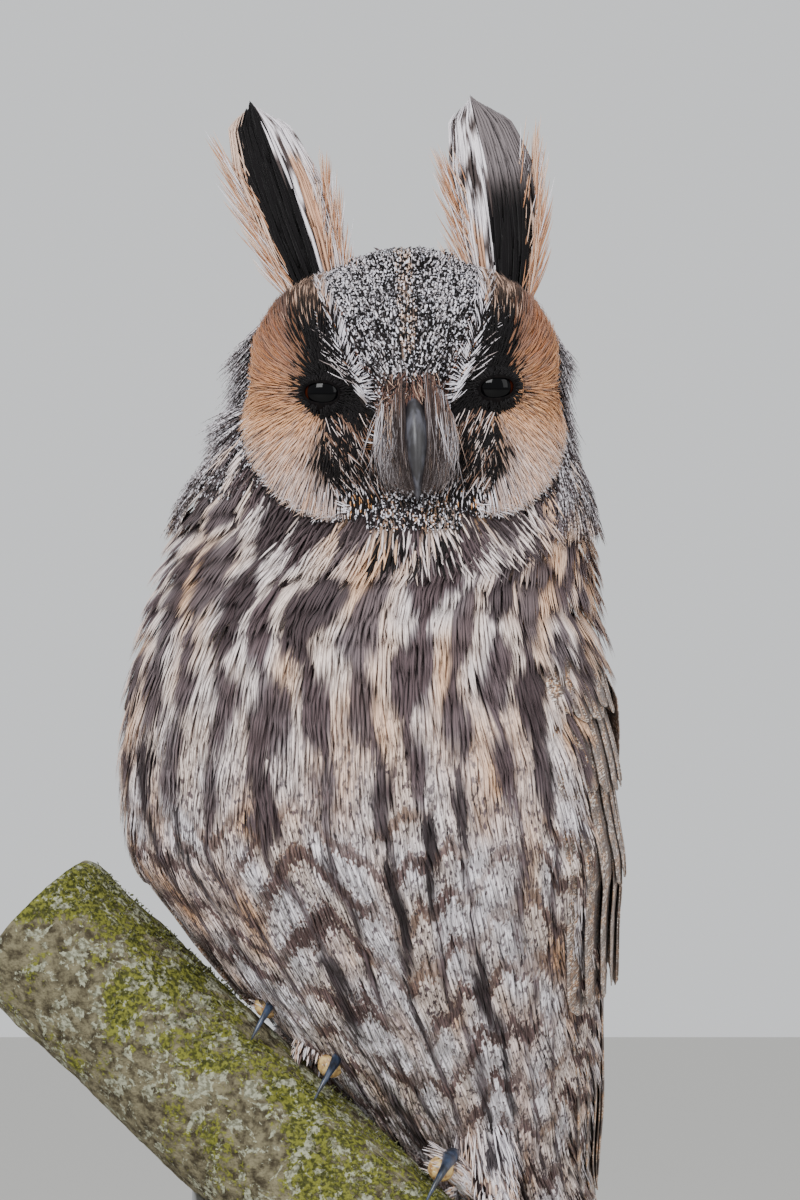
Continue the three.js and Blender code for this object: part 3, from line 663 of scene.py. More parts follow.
def surface(tree, shader, colour, height, strength, distance=0.0004):
    """Gives a shader its colour and its relief."""
    feed(tree, shader.inputs["Base Color"], colour)
    made = node(tree, "ShaderNodeBump", {"Height": height, "Strength": strength, "Distance": distance})
    feed(tree, shader.inputs["Normal"], made.outputs["Normal"])


def group_material(name, group, finish, relief, values):
    """A material whose colour and relief come from a group. finish: roughness, sheen and gloss."""
    material, tree, shader = new_material(name, *finish[:2], Specular_IOR_Level=finish[2])
    inputs = {key.replace("_", " "): value for key, value in values.items()}
    made = node(tree, "ShaderNodeGroup", inputs, node_tree=group).outputs
    surface(tree, shader, made["Colour"], made["Height"], 0.25, relief)
    return material


def coat_material(name, **values):
    return group_material(name, FEATHERS, (0.85, 0.04, 0.12), 0.0004, values)


# Plain coats have neither the flecks nor the painted shade that the flecks lay on the lower body.
PLAIN = {"Fleck": 0.0, "Fleck_below": 0.0}
BODY_COAT = coat_material("body feathers")
FACE_COAT = coat_material("face feathers", Hair_lines=0.36, Buff=srgb(224, 166, 112),
                          Rust=srgb(160, 88, 20), Dark=srgb(84, 54, 32), **PLAIN)
CROWN_COAT = coat_material("speckled feathers of the crown", Salt=0.9, **PLAIN)
SIDE_COAT = coat_material("finely speckled feathers of the neck", Salt=0.5, **PLAIN)
NAPE_COAT = coat_material("feathers of the nape", Salt=0.18, **PLAIN)
SMALL_COAT = coat_material("small plain feathers", **PLAIN)
COATS = (BODY_COAT, FACE_COAT, CROWN_COAT, SIDE_COAT, NAPE_COAT, SMALL_COAT)
print("coats:", ", ".join(coat.name for coat in COATS))

# %% [markdown]
# ## The skin
# Under the coat lies one closed skin for body, legs and toes, so that no seam can show between
# feathers. Its rings come from the plumage's function, set in by the depth of the coat, and the
# tubes of legs and toes are fused with it by a voxel remesh.

# %% Branch places, legs and toes
BRANCH_MIDDLE = np.array([0.0, -20.0, 95.6])
BRANCH_RADIUS = 23.5
BRANCH_LINE = unit(np.array([0.715, -0.204, -0.668]))
BRANCH_UP = unit(np.array([0, 0, 1.0]) - BRANCH_LINE[2] * BRANCH_LINE)
BRANCH_FRONT = np.cross(BRANCH_LINE, BRANCH_UP)
FEET = {"right": (-45.5, -1), "left": (1.5, 1)}  # the branch's x under the foot, and its side
TOES = [((3, -16), (12, 0)), ((-3, -16), (-12, 0)), ((3, -22), (9, -64)), ((-3, -22), (-9, -60))]


def over_branch(x, along, turn, off):
    """A place along the branch, round it from its top in degrees, and off its bark."""
    x, along, turn, off = np.broadcast_arrays(*(np.asarray(v, float) for v in (x, along, turn, off)))
    turn = np.radians(turn)[..., None]
    reach = (BRANCH_RADIUS + off)[..., None]
    middle = BRANCH_MIDDLE + BRANCH_LINE * (x / BRANCH_LINE[0])[..., None]
    return (middle + BRANCH_LINE * along[..., None]
            + reach * (BRANCH_UP * np.cos(turn) + BRANCH_FRONT * np.sin(turn)))


def toe_line(foot, toe, t):
    x, side = FEET[foot]
    (a0, t0), (a1, t1) = TOES[toe]
    off = mix(5.7, 5.3, t) + 0.6 * np.sin(math.pi * t)
    return over_branch(x, side * mix(a0, a1, t), mix(t0, t1, t), off)


def leg_line(foot, t):
    ankle = over_branch(FEET[foot][0], 0, -14, 11)
    knee = np.array([mix(ankle[0], 6, 0.35), ankle[1] + 24, ankle[2] + 38])
    return ankle + (knee - ankle) * np.asarray(t)[..., None]


# %% Tubes, and closed stacks of rings
def full_turn(sides):
    return np.linspace(0, 2 * math.pi, sides, endpoint=False)


def tube(points, radii, sides=20):
    """The rings of a round tube along points."""
    ahead = unit(np.gradient(points, axis=0))
    across = unit(np.cross(ahead, np.array([0.3, 1.0, 0.2])))
    over = np.cross(ahead, across)
    turn = full_turn(sides)[:, None]
    radii = np.asarray(radii, float).reshape(len(points), -1)
    return np.array([p + r[0] * a * np.cos(turn) + r[-1] * o * np.sin(turn)
                     for p, a, o, r in zip(points, across, over, radii)])


def ring_faces(rows, sides, first=0):
    start = first + np.arange(rows - 1)[:, None] * sides
    return quads_between(start, start + sides, sides)


def closed_from_rings(name, groups):
    """One object from several closed stacks of rings, each shut at both ends."""
    points, quads, triangles, first = [], [], [], 0
    for rings in groups:
        rows, sides = rings.shape[:2]
        points += [rings.reshape(-1, 3), rings[:1].mean(1), rings[-1:].mean(1)]
        quads.append(ring_faces(rows, sides, first))
        k = np.arange(sides)
        low, high = first + rows * sides, first + rows * sides + 1
        last = first + (rows - 1) * sides
        triangles.append(np.stack([np.full(sides, low), first + (k + 1) % sides, first + k], 1))
        triangles.append(np.stack([np.full(sides, high), last + k, last + (k + 1) % sides], 1))
        first += rows * sides + 2
    return new_piece(name, np.concatenate(points), np.concatenate(quads), np.concatenate(triangles))


# %% [markdown]
# The skin keeps clear of the branch, since only the toes may touch it. A voxel remesh then makes
# one closed surface of the body, two legs and eight toes, with no seam where they meet.

# %% The skin
def body_depth(angle, z):
    """How deep the skin lies under the plumage: shallow on the face, deep under the wings."""
    angle = abs(angle)
    depth = mix(6.5, 3.2, smooth(z, 285, 325))
    wing = smooth(angle, 1.05, 1.3) * (1 - smooth(z, 272, 290))
    mantle = smooth(angle, 2.7, 2.95) * smooth(z, 190, 215)
    lower = 1 - smooth(z, 98, 122)
    return depth + 5.5 * wing * (1 - 0.7 * mantle) + 10 * lower**2


heights = np.concatenate([np.linspace(99, 290, 90), np.linspace(291.5, 360, 50),
                          np.linspace(360.8, 368, 14)])
around = np.linspace(-math.pi, math.pi, 128, endpoint=False)
grid_a, grid_z = np.meshgrid(around, heights)
body_rings = coat(grid_a, grid_z, body_depth(grid_a, grid_z))


def from_branch(points):
    """How far points lie along the branch, and their way out from its middle line."""
    offset = points - BRANCH_MIDDLE
    along = offset @ BRANCH_LINE
    return along, offset - along[..., None] * BRANCH_LINE


def clear_of_branch(points, off):
    """Pushes points out of the space round the branch, to a distance off its bark."""
    along, radial = from_branch(points)
    room = BRANCH_RADIUS + off
    pushed = BRANCH_MIDDLE + along[..., None] * BRANCH_LINE + unit(radial) * room
    return where(np.linalg.norm(radial, axis=-1) < room, pushed, points)


SKIN_OFF_BARK = 12
VOXEL = 1.5
body_rings = clear_of_branch(body_rings, SKIN_OFF_BARK)
limb_rings = []
for foot in FEET:
    for toe in range(4):
        t = np.linspace(0, 1, 9)
        limb_rings.append(tube(toe_line(foot, toe, t), mix(3.6, 3.1, t)))
    t = np.linspace(-0.12, 1, 10)
    limb_rings.append(tube(leg_line(foot, t), mix(5.2, 11, t)))
skin = closed_from_rings("skin", [body_rings[:, ::-1]] + limb_rings)


def settle(piece):
    """Bakes the modifiers of a piece into a plain mesh."""
    graph = bpy.context.evaluated_depsgraph_get()
    mesh = bpy.data.meshes.new_from_object(piece.evaluated_get(graph))
    piece.modifiers.clear()
    piece.data = mesh
    return piece


remesh = skin.modifiers.new("fuse", "REMESH")
remesh.mode = "VOXEL"
remesh.voxel_size = VOXEL * MM
remesh.use_smooth_shade = True
settle(skin)
print("skin:", triangles_in(skin), "triangles, volume", round(outward_volume(skin) * 1e6), "cm3")

# %% [markdown]
# ## Body feathers
# Each body feather is a fan of narrow locks that share a shaft, as barbs do. Their roots lie deep
# and their tips come up to the surface, so every row covers the roots of the one below it. The
# paths are computed on the plumage's surface, so no feather stands off the body.

# %% Fans of locks on the body
FAN = 24


def body_feathers(name, angle, z, length, width, depth):
    """Feathers with their roots at the given places, their tips further down the body."""
    n, m = len(angle), 4
    chance = draw.uniform(0, 1, (3, n, 1, 1))
    place = np.linspace(-1, 1, FAN)[None, :, None]
    t = np.linspace(0, 1, m)[None, None, :]
    start = 0.22 * abs(place) + draw.uniform(0, 0.18, (n, FAN, 1))
    end = 1 - 0.26 * place**2 + draw.uniform(-0.26, 0.05, (n, FAN, 1))
    along = mix(start, end, t)
    spread = mix(0.28, 1.0, smooth(along, 0, 0.6)) * (1 - 0.12 * along)
    across = place * spread + 0.07 * draw.normal(size=(n, FAN, 1))
    slope = np.linalg.norm(plumage(angle, z - 1.0) - plumage(angle, z + 1.0), axis=-1) / 2
    radius = np.linalg.norm(plumage(angle + 0.02, z) - plumage(angle - 0.02, z), axis=-1) / 0.04
    turn = draw.normal(0, 0.09, (n, 1, 1))
    sideways = across * (width / 2)[:, None, None] + turn * along * length[:, None, None]
    new_angle = angle[:, None, None] + sideways / radius[:, None, None]
    new_z = z[:, None, None] - along * (length / slope)[:, None, None]
    tip = draw.uniform(0.0, 1.0, (n, 1, 1)) + draw.uniform(0, 0.5, (n, FAN, 1))
    inset = mix(depth[:, None, None], tip, smooth(along, -0.2, 1.0) ** 0.8)
    inset = inset + 0.9 * across**2
    path = plumage(new_angle, new_z, inset)
    out = path - plumage(new_angle, new_z, inset + 3)
    path = clear_of_branch(path, 1.4)
    share = np.interp(np.linspace(0, 1, m), [0, 0.33, 0.67, 1], [0.6, 1, 0.95, 0.1])
    lock_width = (width[:, None, None] / FAN * 1.7) * share
    marks = body_marks(new_angle, new_z)

    def flat(v, k=()):
        return np.broadcast_to(v, (n, FAN, m) + k).reshape((n * FAN, m) + k)

    unwrapped = unwrap(np.repeat(angle, FAN), np.repeat(z, FAN))
    own = mix(np.repeat(chance[2, :, 0, 0], FAN), draw.uniform(0, 1, n * FAN), 0.6)
    piece = locks(name, flat(path, (3,)), flat(out, (3,)), flat(lock_width), flat(0.1 * lock_width),
                  flat(marks, (4,)), own, unwrapped)
    bars = flat(body_bars(new_angle, new_z), (3,))
    put(piece.data, "bars", np.repeat(bars, 3, axis=1))
    return piece


# %% All body feathers
BRANCH_REACH = (-146, 92)  # the branch's ends, along its own line


def near_branch(points, off):
    """True within a distance of the branch's bark."""
    along, radial = from_branch(points)
    beside_it = (along > BRANCH_REACH[0]) & (along < BRANCH_REACH[1])
    return beside_it & (np.linalg.norm(radial, axis=-1) < BRANCH_RADIUS + off)


NECK_Z, BELLY_Z, FRONT = 274, 205, 1.7
angle, z = sites(318, 108, 6.9)
under_wing = (abs(angle) > mix(1.64, 1.42, smooth(z, 185, 215))) & (abs(angle) < 2.5)
under_wing &= (z < 268) & (z > 120)
length = mix(26.0, 12.0, smooth(z, 250, 315)) * draw.uniform(0.9, 1.1, len(z))
keep = ~under_wing & ~facing(in_head(plumage(angle, z)))
keep &= ~near_branch(plumage(angle, z - length), -4) & ~near_branch(plumage(angle, z, 5), 5)
angle, z, length = angle[keep], z[keep], length[keep]
width = mix(15.0, 9.0, smooth(z, 250, 315)) * draw.uniform(0.85, 1.15, len(z))
depth = body_depth(angle, z) - 0.2
parts = {
    "feathers_neck": z > NECK_Z,
    "feathers_breast": (z <= NECK_Z) & (z > BELLY_Z) & (abs(angle) <= FRONT),
    "feathers_belly": (z <= BELLY_Z) & (abs(angle) <= FRONT),
    "feathers_back": (z <= NECK_Z) & (abs(angle) > FRONT),
}
coat_pieces = []
for name, mask in parts.items():
    piece = body_feathers(name, *(v[mask] for v in (angle, z, length, width, depth)))
    piece.data.materials.append(BODY_COAT)
    coat_pieces.append(piece)
    print(name, int(mask.sum()), "feathers,", triangles_in(piece), "triangles")

# %% [markdown]
# ## One tree for all small tufts
# The face, the crown, the toes and the moss on the branch are each thousands of copies of one
# small lock that differ in place, turn and size. That is what Geometry Nodes are for: points carry
# the turn, the size and the marks, one lock is set on each, and the copies are made real.

# %% One small lock
def lock_mesh(name, stations, bend, ridge=0.25):
    """One lock of length and width 1 along Y, with its tip bent by a share of its width."""
    t = np.linspace(0, 1, stations)
    wide = np.interp(t, [0, 0.25, 0.7, 1], [0.55, 1, 0.8, 0.1])
    height = bend * np.sin(math.pi * t) ** 0.8
    ring = np.stack([np.stack([side * wide / 2, t, height + (side == 0) * ridge * wide], 1)
                     for side in (1, 0, -1)], axis=1)
    last = 3 * stations - 3
    piece = new_piece(name, ring.reshape(-1, 3) / MM, ring_faces(stations, 3)[:, ::-1],
                      [(0, 1, 2), (last + 2, last + 1, last)])
    put(piece.data, "lock", np.stack([np.tile([1, 0, -1], stations), np.repeat(t, 3),
                                      np.zeros(3 * stations)], 1))
    piece.hide_render = True
    piece.hide_viewport = True
    return piece


# %% The tree that sets it on points
def tuft_tree():
    tree = bpy.data.node_groups.new("Tufts on points", "GeometryNodeTree")
    geometry = ("Geometry", "NodeSocketGeometry")
    new_sockets(tree, "INPUT", [geometry, ("Tuft", "NodeSocketObject"), ("Disorder", FLOAT, 0.15),
                                ("Seed", "NodeSocketInt", 3), ("Material", "NodeSocketMaterial")])
    new_sockets(tree, "OUTPUT", [geometry])
    given = tree.nodes.new("NodeGroupInput").outputs

    def read(name):
        made = node(tree, "GeometryNodeInputNamedAttribute", {"Name": name}, data_type="FLOAT_VECTOR")
        return next(o for o in made.outputs if o.enabled and o.name == "Attribute")

    tuft = node(tree, "GeometryNodeObjectInfo", {"Object": given["Tuft"]}).outputs["Geometry"]
    turn = node(tree, "FunctionNodeEulerToRotation", {0: read("turn")}).outputs[0]
    stray = node(tree, "FunctionNodeRandomValue", {"Min": (-1, -1, -1), "Max": (1, 1, 1)},
                 data_type="FLOAT_VECTOR")
    tree.links.new(given["Seed"], next(i for i in stray.inputs if i.name == "Seed"))
    scaled = node(tree, "ShaderNodeVectorMath", {0: stray.outputs[0], "Scale": given["Disorder"]},
                  operation="SCALE")
    stray_turn = node(tree, "FunctionNodeEulerToRotation", {0: scaled.outputs[0]}).outputs[0]
    turned = node(tree, "FunctionNodeRotateRotation", {0: turn, 1: stray_turn}, rotation_space="LOCAL")
    placed = node(tree, "GeometryNodeInstanceOnPoints", {
        "Points": given["Geometry"], "Instance": tuft, "Rotation": turned.outputs[0],
        "Scale": read("size")})
    real = node(tree, "GeometryNodeRealizeInstances", {"Geometry": placed.outputs[0]}).outputs[0]
    small = node(tree, "ShaderNodeVectorMath", {0: read("lock"), "Scale": PATCH / 2}, operation="SCALE")
    patch = node(tree, "ShaderNodeVectorMath", {0: read("patch"), 1: small.outputs[0]}, operation="ADD")
    stored = node(tree, "GeometryNodeStoreNamedAttribute", {"Geometry": real, "Name": "OFBake"},
                  data_type="FLOAT2", domain="CORNER")
    tree.links.new(patch.outputs[0], next(i for i in stored.inputs if i.name == "Value" and i.enabled))
    painted = node(tree, "GeometryNodeSetMaterial", {"Geometry": stored.outputs[0],
                                                     "Material": given["Material"]})
    node(tree, "NodeGroupOutput", {"Geometry": painted.outputs[0]})
    return tree


TUFTS_ON_POINTS = tuft_tree()
HAIR = lock_mesh("hair form", 4, 0.9, 0.35)
TUFT = lock_mesh("tuft form", 4, 0.35, 0.2)
SPECK = lock_mesh("short tuft form", 3, 0.3, 0.2)
print(TUFTS_ON_POINTS.name, len(TUFTS_ON_POINTS.nodes), "nodes; a hair has", triangles_in(HAIR),
      "triangles")

# %% Tufts by the thousand
def turns_of(way, out):
    """Euler turns that lay Y along the way and Z outwards."""
    along = unit(way)
    side = unit(np.cross(along, out))
    over = np.cross(side, along)
    return np.stack([np.arctan2(along[:, 2], over[:, 2]), np.arcsin(np.clip(-side[:, 2], -1, 1)),
                     np.arctan2(side[:, 1], side[:, 0])], axis=1)


def small_tufts(name, points, way, out, length, width, marks, unwrapped, material, tuft,
                disorder=0.15, seed=3):
    """Sets one small lock on each point. way is where it leads, out is away from the surface."""
    count = len(points)
    width = np.broadcast_to(width, count)
    mesh = new_mesh(name, points)
    put(mesh, "turn", turns_of(way, out))
    put(mesh, "size", np.stack([width, length, width], 1) * MM)
    put(mesh, "marks", marks)
    put(mesh, "own", draw.uniform(0, 1, count))
    put(mesh, "patch", np.column_stack([unwrapped, np.zeros(count)]))
    piece = into_scene(name, mesh)
    modifier = piece.modifiers.new("tufts", "NODES")
    modifier.node_group = TUFTS_ON_POINTS
    wanted = {"Tuft": tuft, "Disorder": disorder, "Seed": seed, "Material": material}
    for socket in TUFTS_ON_POINTS.interface.items_tree:
        if socket.in_out == "INPUT" and socket.name in wanted:
            modifier[socket.identifier] = wanted[socket.name]
    settle(piece)
    piece.data.shade_smooth()
    for used_up in ("turn", "size", "patch"):
        if used_up in piece.data.attributes:
            piece.data.attributes.remove(piece.data.attributes[used_up])
    if not piece.data.materials:
        piece.data.materials.append(material)
    print(name, count, "tufts,", triangles_in(piece), "triangles")
    return piece


# %% [markdown]
# ## The head
# The head gets most of the work, as a face is what people know an owl by. Its coat changes from
# place to place: fine rays of hair on the two discs, short speckled tufts on the crown, white
# brows. The borders between them are read off the head's own frame, the same on both sides.

# %% Borders on the face
BLACK_EDGE = np.array([(-33, 14), (-27, 20), (-20, 23.5), (-13, 24.5), (-6, 22), (-3, 25.5), (0, 28.4),
                       (3, 28.2), (8, 26.8), (20, 30.5), (25, 33), (33, 36)])
WHITE_LINE = np.array([(-29, 1.5), (-20, 4.6), (-12, 8), (-5, 10.3), (-1.5, 11.5), (5.5, 14.6),
                       (13, 18.2), (23.5, 21.5), (32, 24)])


def border(line, z):
    return np.interp(z, line[:, 0], line[:, 1])


def across_and_up(local):
    """The distance from the middle line of the face, and the height."""
    return abs(local[..., 0]), local[..., 2]


# %% Marks of the head
def crown_marks(x, y, z, r):
    """Salt and pepper, with a buff line down the middle, and streaks behind."""
    u = abs(x)
    grain = 0.5 + 0.5 * soft_noise(x / 2.3 + 40, z / 2.3 + y / 2.3, 21)
    coarse = 0.5 + 0.5 * soft_noise(x / 5 + 9, z / 5 + y / 5, 22)
    light = smooth(z, 13, 24) * smooth(u, 3, 9)
    marks = paint(0.3 - 0.2 * light, 0.08, 0.25 + 0.3 * r[1] + 0.2 * light, 0.12)
    marks = where(r[0] < 0.52 + 0.4 * coarse * grain - 0.38 * light, paint(0.5, 0.15, 0, 0.75), marks)
    marks = where(r[0] > 0.86 - 0.2 * light, paint(0.0, 0.05, 0.7, 0.0), marks)
    buff_line = (u < 2.2) & (z > 9) & (y < 6)
    marks = where(buff_line & (r[2] < 0.55), paint(0.1, 0.42, 0.1, 0), marks)
    rusty_foot = 1 - smooth(z, 0, 6)
    marks = where((u < 9) & (r[2] < 0.75 * rusty_foot), paint(0.45, 0.8, 0, 0.2), marks)
    stripe = soft_noise(np.arctan2(x, y + 8) * 13, z / 16, 23) + 0.7 * (r[0] - 0.5)
    between = paint(0.45 * r[1], 0.2 + 0.3 * r[2], 0.3 * r[0], 0)
    streaked = where(stripe > 0.12, paint(0.85, 0.2, 0, 0.3), between)
    return where(r[2] < 1.1 * (1 - smooth(-y, -10, 6)), streaked, marks)


def disc_marks(u, z, rim, r):
    """Orange rays, black round and under the eye, and a speckled border below."""
    tone = mix(0.36, 0.94, smooth(z, -17, 14)) + 0.22 * (r[1] - 0.5) - 0.2 * smooth(u, 35, 43)
    smoky = 0.6 * smooth(z, 14, 26) * (1 - 0.5 * smooth(u, 36, 43)) * (0.5 + r[0])
    smoky = 0.1 * smooth(z, 2, 12) + smoky + 0.3 * (1 - smooth(u - border(BLACK_EDGE, z), 0, 5))
    pale = mix(0.4, 0.08, smooth(z, -26, -2)) * (0.4 + r[0])
    orange = paint(0.06 + 0.4 * (r[2] > 0.84) + smoky, tone, pale, 0.0)
    black = paint(0.45, 0.3, 0.05, mix(0.93, 0.4, smooth(z, 14, 26)))
    black = where(r[1] < 0.35 * smooth(z, 12, 24), paint(0.25, 0.5, 0.2, 0), black)
    streaked = where(r[2] < 0.1, paint(0.3, 0.35, 0.25, 0.2), paint(0.5, 0.3, 0, 0.88))
    speckled = where(r[2] < 0.36, paint(0, 0.08, 0.8, 0), paint(0.4, 0.2, 0, 0.9))
    inner = where(z > -5, black, streaked)
    inner = where((z < -19 - 3 * r[1]) & (u > 8), speckled, inner)
    black_edge = border(BLACK_EDGE, z) + 4.2 * (r[0] - 0.5)
    marks = where(u > black_edge, orange, inner)
    edge = (rim > 0.87 + 0.1 * r[1]) & (u > 12) & (z < 4 * r[0] - 11)
    spotted = where(r[0] < 0.3, paint(0.35, 0.2, 0, 0.6), paint(0.05, 0.1, 0.8, 0))
    return where(edge & (r[2] < 0.75), spotted, marks)


def head_marks(local, r):
    """Marks of the head's coat, with r three random numbers for each tuft."""
    x, y, z = np.moveaxis(local, -1, 0)
    u, rim, in_front = abs(x), rim_of(local), smooth(-y, 3, 9)
    marks = crown_marks(x, y, z, r)
    side_of_head = (rim > 1.0) & (z < 24) & (u > 24) & (y < 14)
    grey = where(r[0] < 0.34, paint(0.65, 0.05, 0.0, 0.3), paint(0.28, 0.0, 0.5, 0.06))
    below = side_of_head & (z < -14) & (u > 30) & (rim < 1.35) & (y < -4)
    grey = where(below & (r[1] < 0.8), paint(0.75, 0.2, 0, 0.55), grey)
    marks = where(side_of_head, grey, marks)
    from_line = u - border(WHITE_LINE, z) - 1.0 * (r[1] - 0.5)
    on_disc = (rim < 1.0 + 0.03 * r[1]) & (from_line > 0.8) & (in_front > 0.4) & (z < 33)
    marks = where(on_disc, disc_marks(u, z, rim, r), marks)
    brow = (abs(from_line) < 0.8) & (z > -4) & (z < 23) & (in_front > 0.5)
    marks = where(brow & (r[2] < 0.85 - 0.5 * smooth(z, 8, 22)), paint(0, 0.05, 0.85, 0), marks)
    rust = (from_line < -0.8) & (from_line > -4.4) & (z > -4) & (z < 22) & (in_front > 0.5)
    rusty = where(r[2] < 0.4, paint(0.35, 0.85, 0, 0.1), paint(0.6, 0.2, 0, 0.6))
    marks = where(rust & (r[1] < 0.75), rusty, marks)
    chin = (z < -26) & (u < 17) & (in_front > 0.3)
    speckled = where(r[0] < 0.68, paint(0.4, 0.2, 0, 0.88), paint(0, 0.1, 0.8, 0))
    return where(chin, where(r[0] > 0.86, paint(0.1, 0.6, 0, 0), speckled), marks)


# %% The way the coat of the head lies
def head_lie(local):
    """The way the coat of the head lies, before it is laid on the skin."""
    x, y, z = np.moveaxis(local, -1, 0)
    rim = rim_of(local)
    side = np.sign(x)
    from_bill = np.stack([x, y + 60, z + 20], -1)
    from_eye = np.stack([x - side * 21, -0.25 * (y + 30), z - 0.5], -1)
    behind = smooth(y, -14, 10)[..., None]
    lie = unit(from_bill) + 2.2 * behind * np.array([0, 0, -1.0])
    on_disc = (abs(x) > border(WHITE_LINE, z)) & (y < -6) & (rim < 1.35)
    lie = where(on_disc, unit(from_eye), lie)
    aside = (smooth(rim, 1.0, 1.2) * smooth(abs(x), 24, 32) * (1 - behind[..., 0]))[..., None]
    downward = unit(np.stack([0.4 * side, 0.3 + 0 * side, -1 + 0 * side], -1))
    lie = unit(mix(lie, downward, aside))
    low = smooth(-z, 24, 31)[..., None]
    return unit(mix(lie, np.array([0, 0, -1.0]), low * (abs(x) < 24)[..., None]))


# %% The coat of face and crown
def laid(way, out):
    """A direction laid flat on a surface whose outward direction is given."""
    return unit(way - out * (way * out).sum(-1, keepdims=True))


HEAD_TOP, HEAD_LOW = 370.8, 294


def rooted(spacing, choose, depth=1.6):
    """Sites on the head outside the eyes: the points, the way out of the surface, the points in
    the head's frame and their places on the map."""
    angle, z = sites(HEAD_TOP, HEAD_LOW, spacing)
    near = in_head(plumage(angle, z))
    hood = facing(near) | (z > 310 + draw.uniform(-7, 4, len(z)))
    at_eye = ((abs(near[:, 0]) - 24.2) / 5.4) ** 2 + ((near[:, 2] - 0.6) / 3.7) ** 2 < 1
    keep = hood & choose(near) & ~(at_eye & (near[:, 1] < -10))
    angle, z = angle[keep], z[keep]
    points, out = frame_on(angle, z, depth)[:2]
    return points, out, in_head(points), unwrap(angle, z)


def head_coat(name, spacing, choose, length, width, material, tuft, lift, disorder=0.12):
    points, out, local, unwrapped = rooted(spacing, choose)
    r = draw.uniform(0, 1, (3, len(points)))
    streaks = body_marks(angle_of(points) + 0.05 * r[0], points[:, 2] - 6 - 5 * r[1])
    behind = smooth(local[:, 1], 1, 9) * (1 - 0.6 * smooth(local[:, 2], 22, 34))
    marks = mix(head_marks(local, r), streaks, (behind > r[2])[:, None])
    tilt = np.radians(lift + 4 * draw.normal(size=len(points)))[:, None]
    way = laid(head_lie(local) @ ROLL.T, out) * np.cos(tilt) + out * np.sin(tilt)
    long = length(local) * draw.uniform(0.8, 1.15, len(points))
    return small_tufts(name, points, way, out, long, width, marks, unwrapped, material, tuft,
                       disorder)


def is_disc(local):
    u, z = across_and_up(local)
    on_it = (u > border(WHITE_LINE, z) - 0.5) & (rim_of(local) < 1.02)
    return on_it & (local[:, 1] < -7) & (z < 33)


def disc_length(local):
    u, z = across_and_up(local)
    from_eye = np.hypot(u - 22, z)
    long = np.clip(0.5 * from_eye, 1.6, 7.5) * (1 - 0.66 * smooth(rim_of(local), 0.66, 0.98))
    return np.where((z < -18) & (u < border(BLACK_EDGE, z)), 2.2, long)


SIDES = {"right": -1, "left": 1}
NAPE_Y = 4  # the coat of the nape begins this far behind the middle of the head
head_pieces = [head_coat("disc_hairs_" + name, 0.62, lambda l: is_disc(l) & (side * l[:, 0] > 0),
                         disc_length, 0.46, FACE_COAT, HAIR, 10, 0.1) for name, side in SIDES.items()]
head_pieces += [
    head_coat("crown_tufts", 1.0, lambda l: ~is_disc(l) & (l[:, 1] < NAPE_Y),
              lambda l: mix(2.0, 3.2, smooth(l[:, 2], -27, -18)), 0.8, CROWN_COAT, SPECK, 13),
    head_coat("nape_tufts", 1.5, lambda l: l[:, 1] >= NAPE_Y, lambda l: np.full(len(l), 8.0),
              1.1, NAPE_COAT, TUFT, 9),
]


# %% [markdown]
# ## Brows, bristles and ear tufts
# The white V of brows and bristles hides the sides of the bill, and the ear tufts are what names
# the species. Both are long locks that bend, so they follow curves through three points, and their
# colour changes across the tuft: a buff fringe, a black middle, then mottled grey and white.

# %% Locks along curves
STATIONS = 6


def curve(root, bend, tip, t):
    return mix(mix(root, bend, t), mix(bend, tip, t), t)


def curved_locks(name, root, bend, tip, width, out, marks, material, unwrapped):
    """Locks from root to tip, drawn towards bend in the middle."""
    t = np.linspace(0, 1, STATIONS)[None, :, None]
    path = curve(root[:, None], bend[:, None], tip[:, None], t)
    share = np.interp(np.linspace(0, 1, STATIONS), [0, 0.3, 0.7, 1], [0.7, 1, 0.75, 0.1])
    wide = width[:, None] * share
    piece = locks(name, path, np.broadcast_to(out[:, None], path.shape), wide, 0.25 * wide, marks,
                  draw.uniform(0, 1, len(root)), unwrapped)
    piece.data.materials.append(material)
    print(name, len(root), "locks,", triangles_in(piece), "triangles")
    return piece


def all_along(marks):
    """The same marks at every station of a lock."""
    return np.repeat(marks[:, None], STATIONS, axis=1)


def pick(share, options, r):
    """One of several marks for each lock, by a random number."""
    return np.asarray(options, float)[np.searchsorted(np.cumsum(share)[:-1], r)]


# %% Bristles beside the bill
BILL_SHIFT = 0.9  # the bill sits a little to the owl's left of the face's middle


